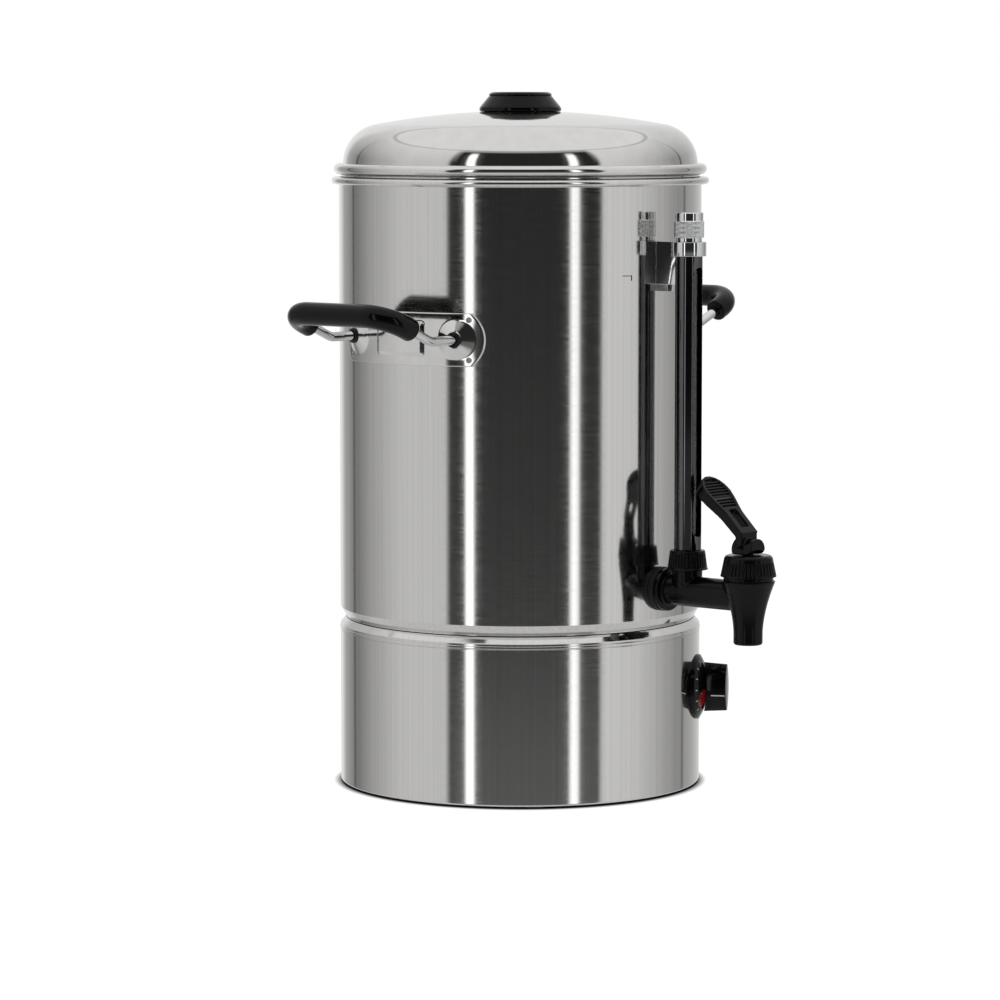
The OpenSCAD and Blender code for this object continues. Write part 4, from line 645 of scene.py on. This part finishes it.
def knurl(angle, height):
    """Height of a diamond knurl: pyramids between two sets of crossed grooves."""
    def wave(t):
        return 1 - abs(2 * (t % 1.0) - 1)
    turn, climb = angle / 360 * KNURL_TEETH, height / (2 * math.pi * CAP_R) * KNURL_TEETH
    return KNURL_DEPTH * (min(wave(turn + climb), wave(turn - climb)) ** 0.8 - 1)


def gauge_cap(sides=288):
    """Knurled cap, as rows of (radius, height, whether the row is knurled): neck, grip and smooth top."""
    low, high, edge = NECK_H + KNURL_CHAMFER, KNURL_TOP - KNURL_CHAMFER, CAP_R - KNURL_CHAMFER
    rows = [(0, 0, False), (NECK_R - 0.2, 0, False), (NECK_R, 0.2, False), (NECK_R, NECK_H - 0.1, False),
            (NECK_R + 0.1, NECK_H, False), (edge, NECK_H, False)]
    rows += [(CAP_R, low + (high - low) * k / KNURL_ROWS, True) for k in range(KNURL_ROWS + 1)]
    rows += [(edge, KNURL_TOP, False), (TOP_EDGE_R + 0.1, KNURL_TOP, False),
             (TOP_EDGE_R, KNURL_TOP + 0.1, False), (TOP_EDGE_R, CAP_H - 0.6, False),
             (TOP_EDGE_R - 0.2, CAP_H - 0.2, False), (TOP_EDGE_R - 0.6, CAP_H, False), (0, CAP_H, False)]
    points, faces = [], []
    for k in range(sides):
        turn = math.radians(360 * k / sides)
        for r, z, cut in rows:
            grown = r + (knurl(360 * k / sides, z) if cut else 0)
            points.append((grown * math.cos(turn), grown * math.sin(turn) - GAUGE_D, CAP_Z + z))
    n = len(rows)
    for k in range(sides):
        here, on = k * n, (k + 1) % sides * n
        faces.append([here, on + 1, here + 1])
        faces += [[here + i, on + i, on + i + 1, here + i + 1] for i in range(1, n - 2)]
        faces.append([here + n - 2, on + n - 2, here + n - 1])
    build("gauge_cap_knurled", points, faces, SLOT_FINISH["bright_steel"], "urn", "bright_steel",
          "gauge_cap", sharp=25)


gauge_cap()


# Printed marks: ticks round the dial, the pointer of its knob and the fill line of the tank

WHITE_INK, BLACK_INK = printed("white_ink", "C8C8C6", "DEDEDC"), printed("black_ink", "141414", "202020")
TICK_IN, TICK_OUT, TICK_HALF, TICK_COUNT, TICK_FIRST, TICK_LAST = 17.9, 19.6, 0.22, 13, -45, 225
# Height of the ink over the surface, and how far its strips reach into it
INK_OUT, INK_IN = 0.05, 0.1
# Side of the knob that the pointer lies on, its place up the side and its length back from the face
KNOB_SIDE, POINTER_UP, POINTER_HALF, POINTER_L = -6.9, -4.8, 0.35, 9.5
# Fill line as (name, first angle, last angle, lower edge, upper edge)
FILL_TOP, FILL_END = 335.1, -13.6
FILL_LINES = [("fill_line", -17.2, FILL_END, FILL_TOP - 0.5, FILL_TOP),
              ("fill_line_end", FILL_END - 0.4, FILL_END, FILL_TOP - 3.3, FILL_TOP)]


def instances():
    """Node group that repeats its mesh round local Z: count, first angle, last angle and material."""
    tree = bpy.data.node_groups.new("ring_of_marks", "GeometryNodeTree")
    for label, kind in (("Geometry", "Geometry"), ("Count", "Int"), ("First Angle", "Float"),
                        ("Last Angle", "Float"), ("Material", "Material")):
        tree.interface.new_socket(label, in_out="INPUT", socket_type="NodeSocket" + kind)
    tree.interface.new_socket("Geometry", in_out="OUTPUT", socket_type="NodeSocketGeometry")
    given, result = add(tree, "NodeGroupInput"), add(tree, "NodeGroupOutput")
    spots = add(tree, "GeometryNodePoints", {"Count": given.outputs[1]})
    last = sums(tree, "SUBTRACT", given.outputs[1], 1)
    share = sums(tree, "DIVIDE", add(tree, "GeometryNodeInputIndex").outputs[0], last)
    turn = add(tree, "ShaderNodeMapRange",
               {"Value": share, "To Min": given.outputs[2], "To Max": given.outputs[3]})
    angles = add(tree, "ShaderNodeCombineXYZ", {"Z": turn.outputs[0]})
    copies = add(tree, "GeometryNodeInstanceOnPoints",
                 {"Points": spots.outputs[0], "Instance": given.outputs[0], "Rotation": angles.outputs[0]})
    real = add(tree, "GeometryNodeRealizeInstances", {0: copies.outputs[0]})
    inked = add(tree, "GeometryNodeSetMaterial", {"Geometry": real.outputs[0], "Material": given.outputs[4]})
    tree.links.new(inked.outputs[0], result.inputs[0])
    return tree


def slab(rows):
    """Points and faces of a strip given as rows of four corners."""
    points = [p for row in rows for p in row]
    faces = [[4 * i + k, 4 * i + (k + 1) % 4, 4 * i + 4 + (k + 1) % 4, 4 * i + 4 + k]
             for i in range(len(rows) - 1) for k in range(4)]
    return points, faces + [[3, 2, 1, 0], [len(points) - 4 + k for k in range(4)]]


def dial_ticks():
    """White ticks on the dome of the bezel, in a ring open at the bottom."""
    rows = []
    for k in range(5):
        r = TICK_IN + (TICK_OUT - TICK_IN) * k / 4
        low, high = [DOME_MID_D - BODY_R + math.sqrt((DOME_R + lift) ** 2 - r * r)
                     for lift in (-INK_IN, INK_OUT)]
        rows.append([(r, -TICK_HALF, low), (r, TICK_HALF, low), (r, TICK_HALF, high), (r, -TICK_HALF, high)])
    points, faces = slab(rows)
    mesh = bpy.data.meshes.new("tick")
    mesh.from_pydata([Vector(p) * MM for p in points], [], faces)
    pattern = bpy.data.objects.new("tick", mesh)
    bpy.context.collection.objects.link(pattern)
    made = pattern.modifiers.new("ring", "NODES")
    made.node_group = instances()
    for key, value in (("Socket_1", TICK_COUNT), ("Socket_2", math.radians(TICK_FIRST)),
                       ("Socket_3", math.radians(TICK_LAST)), ("Socket_4", WHITE_INK)):
        made[key] = value
    ready = pattern.evaluated_get(bpy.context.evaluated_depsgraph_get())
    whole = bpy.data.meshes.new_from_object(ready)
    bpy.data.objects.remove(pattern)
    whole.transform(turned(DIAL_ANGLE, BODY_R * MM, DIAL_Z * MM))
    show("dial_ticks", whole, WHITE_INK, "urn", "black_plastic")


def knob_pointer():
    """Pale line along the side of the dial knob."""
    out, into = KNOB_SIDE - 0.08, KNOB_SIDE + 0.3
    low, high = POINTER_UP - POINTER_HALF, POINTER_UP + POINTER_HALF
    rows = [[(out, low, d), (out, high, d), (into, high, d), (into, low, d)]
            for d in (DIAL_FACE - POINTER_L, DIAL_FACE - POINTER_L / 2, DIAL_FACE - 0.6)]
    points, faces = slab(rows)
    place = turned(DIAL_ANGLE, BODY_R, DIAL_Z)
    build("knob_pointer", [place @ Vector(p) for p in points], faces, WHITE_INK, "dial", "black_plastic")


def fill_line():
    """Plain level line on the tank beside the gauge, with a short upright at its end."""
    inner, outer = BODY_R - INK_IN, BODY_R + 0.04
    for name, first, last, low, high in FILL_LINES:
        rows = []
        count = max(2, int((last - first) * 4))
        for k in range(count + 1):
            turn = math.radians(first + (last - first) * k / count)
            out = Vector((math.sin(turn), -math.cos(turn), 0))
            rows.append([out * r + Vector((0, 0, z))
                         for r, z in ((inner, low), (outer, low), (outer, high), (inner, high))])
        points, faces = slab(rows)
        build(name, points, faces, BLACK_INK, "urn", "black_plastic")


dial_ticks()
knob_pointer()
fill_line()


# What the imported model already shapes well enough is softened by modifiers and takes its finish

def smoothing():
    """Node group that shades a mesh smooth and keeps its edges above an angle sharp."""
    tree = bpy.data.node_groups.new("smooth_by_angle", "GeometryNodeTree")
    tree.interface.new_socket("Geometry", in_out="INPUT", socket_type="NodeSocketGeometry")
    tree.interface.new_socket("Sharp Above", in_out="INPUT", socket_type="NodeSocketFloat")
    tree.interface.new_socket("Geometry", in_out="OUTPUT", socket_type="NodeSocketGeometry")
    given, result = add(tree, "NodeGroupInput"), add(tree, "NodeGroupOutput")
    edge = add(tree, "GeometryNodeInputMeshEdgeAngle")
    soft = add(tree, "FunctionNodeCompare", {0: edge.outputs[0], 1: given.outputs[1]}, operation="LESS_EQUAL")
    flat = add(tree, "GeometryNodeSetShadeSmooth",
               {"Geometry": given.outputs[0], "Shade Smooth": True}, domain="FACE")
    kept = add(tree, "GeometryNodeSetShadeSmooth",
               {"Geometry": flat.outputs[0], "Shade Smooth": soft.outputs[0]}, domain="EDGE")
    tree.links.new(kept.outputs[0], result.inputs[0])
    return tree


SMOOTH = smoothing()
BLACKENED = bare_metal("blackened_steel", "101010", "1A1A1A", 0.4)
OWN_FINISH = {"gauge_guard": DARK_CHROME, "lever_pin": BLACKENED}
SLOT_OF = {part["node"]: part["material_slot"] for part in frame["record"]["subparts"]}
# Width of the rounded edges in millimetres, and the grain and smoothing of the pieces cast round all over
EDGES = {"gauge_bracket": 0.8, "handle_rings_left": 0.4, "handle_rings_right": 0.4, "thermostat_knob": 0.8,
         "gauge_guard": 0.12, "tap_washer": 0.6, "cord_grommet": 0.5, "rubber_feet": 0.6, "dial_bezel": 0.35,
         "terminal_block": 0.5, "plate_rivets_left": 0.25, "plate_rivets_right": 0.25}
WELD_MM, BEVEL_ABOVE, SHARP, SHARP_CAST = 0.004, 35, 30, 75
CAST = {"tap_lever": (0.4, 5), "tap_body": (0.5, 4), "tap_bonnet": (0.3, 2), "gauge_nut": (0.3, 2)}


def modify(node, kind, **settings):
    """Adds a modifier with its settings."""
    made = node.modifiers.new(kind.lower(), kind)
    for key, value in settings.items():
        setattr(made, key, value)
    return made


for name, node in frame["nodes"].items():
    if node.hide_render:
        continue
    node.data.materials.clear()
    node.data.materials.append(OWN_FINISH.get(name, SLOT_FINISH[SLOT_OF[name]]))
    modify(node, "WELD", merge_threshold=WELD_MM * MM)
    if name in EDGES:
        modify(node, "BEVEL", width=EDGES[name] * MM, segments=3, limit_method="ANGLE",
               angle_limit=math.radians(BEVEL_ABOVE))
    if name in CAST:
        grain, rounds = CAST[name]
        modify(node, "REMESH", mode="VOXEL", voxel_size=grain * MM, use_smooth_shade=True)
        modify(node, "SMOOTH", factor=0.5, iterations=rounds)
    smooth = modify(node, "NODES", node_group=SMOOTH)
    smooth["Socket_1"] = math.radians(SHARP_CAST if name in CAST else SHARP)


# Room: a white set round a dark opening with two strip lamps, seen only in reflections

BACK, RIGHT = Vector((-0.7683, -0.6401, 0.0)), Vector((0.6401, -0.7683, 0.0))
# The room's walls, as (angle from the camera's back towards its right, 8-bit grey): a white backdrop, a grey
# flag on the left before a white wall, the dark opening, and on the right a white wall with a second flag
WALLS = [(-180, 200), (-160, 200), (-150, 150), (-127, 110), (-110, 145), (-80, 180), (-47, 180), (-46, 50),
         (51, 50), (54, 190), (80, 180), (120, 130), (140, 150), (180, 200)]
# Share of the light that the steel gives back, which the tones are divided by
SHEEN = 0.69
# Middle and half widths of the opening, and how its tone deepens from the lowest ray up to the level one
OPENING, OPENING_FULL, OPENING_END = 3.5, 44.0, 50.0
LOWEST = -12
DEEPENS, DEEPENS_GAIN = [(0.0, 1.0), (0.22, 0.8), (0.4, 0.33), (0.85, 0.17), (1.0, 0.16)], 3.0
# Lamp strips in the opening and their wide glow, as (angle, half width, soft edge, strength)
STRIPS = [(-31.9, 1.7, 2.0, 1.7), (-31.9, 2, 6, 0.07), (34.5, 1.8, 2.2, 1.35), (34.5, 3, 5, 0.06)]
STRIP_TOP = 27
# Dark seams between the wall panels, as (angle, factor)
SEAMS = [(-132.0, 0.3), (127.5, 0.35)]
# Tones of the upper walls, of the ceiling and of the floor, and of the room for rays that see no reflection
UPPER, CEILING, FLOOR, PLAIN = 0.82, 0.85, 0.62, 0.35


def tone(grey):
    """Linear value of an 8-bit grey."""
    return linear("%02X%02X%02X" % (grey, grey, grey))[0]


def ramp(tree, value, stops):
    """Grey ramp with stops of (position, level)."""
    made = add(tree, "ShaderNodeValToRGB", {0: value})
    marks = made.color_ramp.elements
    while len(marks) < len(stops):
        marks.new(0.5)
    for mark, (at, level) in zip(marks, stops):
        mark.position, mark.color = at, (level, level, level, 1.0)
    return made.outputs[0]


def apart(tree, value, middle):
    """Distance of a socket's value from a number."""
    return sums(tree, "ABSOLUTE", sums(tree, "SUBTRACT", value, middle), 0.0)


def strip(tree, turn, rise, at, half, soft, power):
    """A lamp strip: round an angle, fading over its soft edge, and fading out at its foot and top."""
    across = spread(tree, apart(tree, turn, at), 1.0, 0.0, half, half + soft)
    top = spread(tree, rise, 1.0, 0.0, STRIP_TOP, STRIP_TOP + 9)
    foot = spread(tree, rise, 0.0, 1.0, LOWEST - 8, LOWEST)
    return sums(tree, "MULTIPLY", across, top, foot, power)


def seam(tree, turn, at, dark):
    """A thin dark seam between two wall panels."""
    return spread(tree, apart(tree, turn, at), dark, 1.0, 0.4, 2.2)


def studio():
    """The world: white for the camera, the room for reflections, and a plain light for all else."""
    world = bpy.data.worlds.new("studio")
    bpy.context.scene.world = world
    world.use_nodes = True
    tree = world.node_tree
    tree.nodes.clear()
    way = add(tree, "ShaderNodeTexCoord").outputs["Generated"]
    across = add(tree, "ShaderNodeVectorMath", {0: way, 1: RIGHT}, operation="DOT_PRODUCT").outputs["Value"]
    along = add(tree, "ShaderNodeVectorMath", {0: way, 1: BACK}, operation="DOT_PRODUCT").outputs["Value"]
    up = add(tree, "ShaderNodeVectorMath", {0: way, 1: (0, 0, 1)}, operation="DOT_PRODUCT").outputs["Value"]
    turn = sums(tree, "MULTIPLY", sums(tree, "ARCTAN2", across, along), 180 / math.pi)
    rise = sums(tree, "MULTIPLY", sums(tree, "ARCSINE", up, 0.0), 180 / math.pi)
    stops = [((at + 180) / 360, tone(grey) / SHEEN) for at, grey in WALLS]
    wall = ramp(tree, spread(tree, turn, 0, 1, -180, 180), stops)
    depth = ramp(tree, spread(tree, rise, 0, 1, LOWEST, 0), DEEPENS)
    opening = spread(tree, apart(tree, turn, OPENING), 1.0, 0.0, OPENING_FULL, OPENING_END)
    depth = blend(tree, opening, 1.0, sums(tree, "MULTIPLY", depth, DEEPENS_GAIN))
    seams = sums(tree, "MULTIPLY", *[seam(tree, turn, at, dark) for at, dark in SEAMS])
    lamps = [strip(tree, turn, rise, *lamp) for lamp in STRIPS]
    walls = sums(tree, "ADD", sums(tree, "MULTIPLY", wall, depth, seams), *lamps)
    lift = sums(tree, "MULTIPLY", spread(tree, rise, 0.0, 0.75, 8, 34), sums(tree, "SUBTRACT", 1.0, opening))
    walls = blend(tree, lift, walls, UPPER)
    fold = spread(tree, apart(tree, rise, 41.0), 0.55, 1.0, 0.3, 1.6)
    ceiling = spread(tree, rise, 0.0, 1.0, 35, 43)
    floor = spread(tree, rise, 1.0, 0.0, -34, -22)
    room = blend(tree, ceiling, walls, sums(tree, "MULTIPLY", fold, CEILING))
    room = blend(tree, floor, room, FLOOR)
    ray = add(tree, "ShaderNodeLightPath")
    seen = sums(tree, "MAXIMUM", ray.outputs["Is Camera Ray"], ray.outputs["Is Transmission Ray"])
    level = blend(tree, ray.outputs["Is Glossy Ray"], spread(tree, seen, PLAIN, 1.0), room)
    glow = add(tree, "ShaderNodeBackground", {"Color": (1, 1, 1, 1), "Strength": level})
    add(tree, "ShaderNodeOutputWorld", {"Surface": glow.outputs[0]})


# Radii in metres between which the painted shadow under the urn fades into the white table
PAINTED_SHADOW_IN, PAINTED_SHADOW_OUT = 0.1168, 0.1228


def table_top():
    """White table with a painted shadow, dark under the urn and faint round it, and not seen in reflections.
    """
    made = bpy.data.materials.new("white_table_painted_shadow")
    made.use_nodes = True
    tree = made.node_tree
    tree.nodes.clear()
    shaded = add(tree, "ShaderNodeBsdfDiffuse")
    at = add(tree, "ShaderNodeTexCoord").outputs["Object"]
    out = add(tree, "ShaderNodeVectorMath", {0: at}, operation="LENGTH").outputs["Value"]
    # Painted shadow: the glow and the grey of the table fall towards black inside these radii
    level = spread(tree, out, 0.0, 0.92, PAINTED_SHADOW_IN, PAINTED_SHADOW_OUT)
    lit = add(tree, "ShaderNodeEmission", {"Color": (1, 1, 1, 1), "Strength": level})
    grey = spread(tree, out, 0.02, 0.4, PAINTED_SHADOW_IN, PAINTED_SHADOW_OUT)
    colour = add(tree, "ShaderNodeCombineXYZ", {"X": grey, "Y": grey, "Z": grey})
    tree.links.new(colour.outputs[0], shaded.inputs["Color"])
    both = add(tree, "ShaderNodeAddShader", {0: shaded.outputs[0], 1: lit.outputs[0]})
    clear = add(tree, "ShaderNodeBsdfTransparent")
    ray = add(tree, "ShaderNodeLightPath")
    mixed = add(tree, "ShaderNodeMixShader",
                {0: ray.outputs["Is Glossy Ray"], 1: both.outputs[0], 2: clear.outputs[0]})
    add(tree, "ShaderNodeOutputMaterial", {"Surface": mixed.outputs[0]})
    mesh = bpy.data.meshes.new("table_top")
    mesh.from_pydata([(-4, -4, 0), (4, -4, 0), (4, 4, 0), (-4, 4, 0)], [], [(0, 1, 2, 3)])
    mesh.materials.append(made)
    top = bpy.data.objects.new("table_top", mesh)
    bpy.context.collection.objects.link(top)


studio()
table_top()

# Camera at the height of the tap lever, left of the tap
lens = bpy.data.cameras.new("camera")
lens.lens, lens.sensor_width = 143.68, 36.0
camera = bpy.data.objects.new("camera", lens)
bpy.context.collection.objects.link(camera)
camera.location = (-1.998, -1.665, 0.441)
PITCH, YAW = math.radians(5.64), math.radians(0.297)
aim = -BACK
aim.rotate(Matrix.Rotation(YAW, 3, "Z"))
aim = aim * math.cos(PITCH) - Vector((0, 0, math.sin(PITCH)))
camera.rotation_euler = aim.to_track_quat("-Z", "Y").to_euler()
bpy.context.scene.camera = camera
bpy.context.scene.view_settings.view_transform = "Standard"
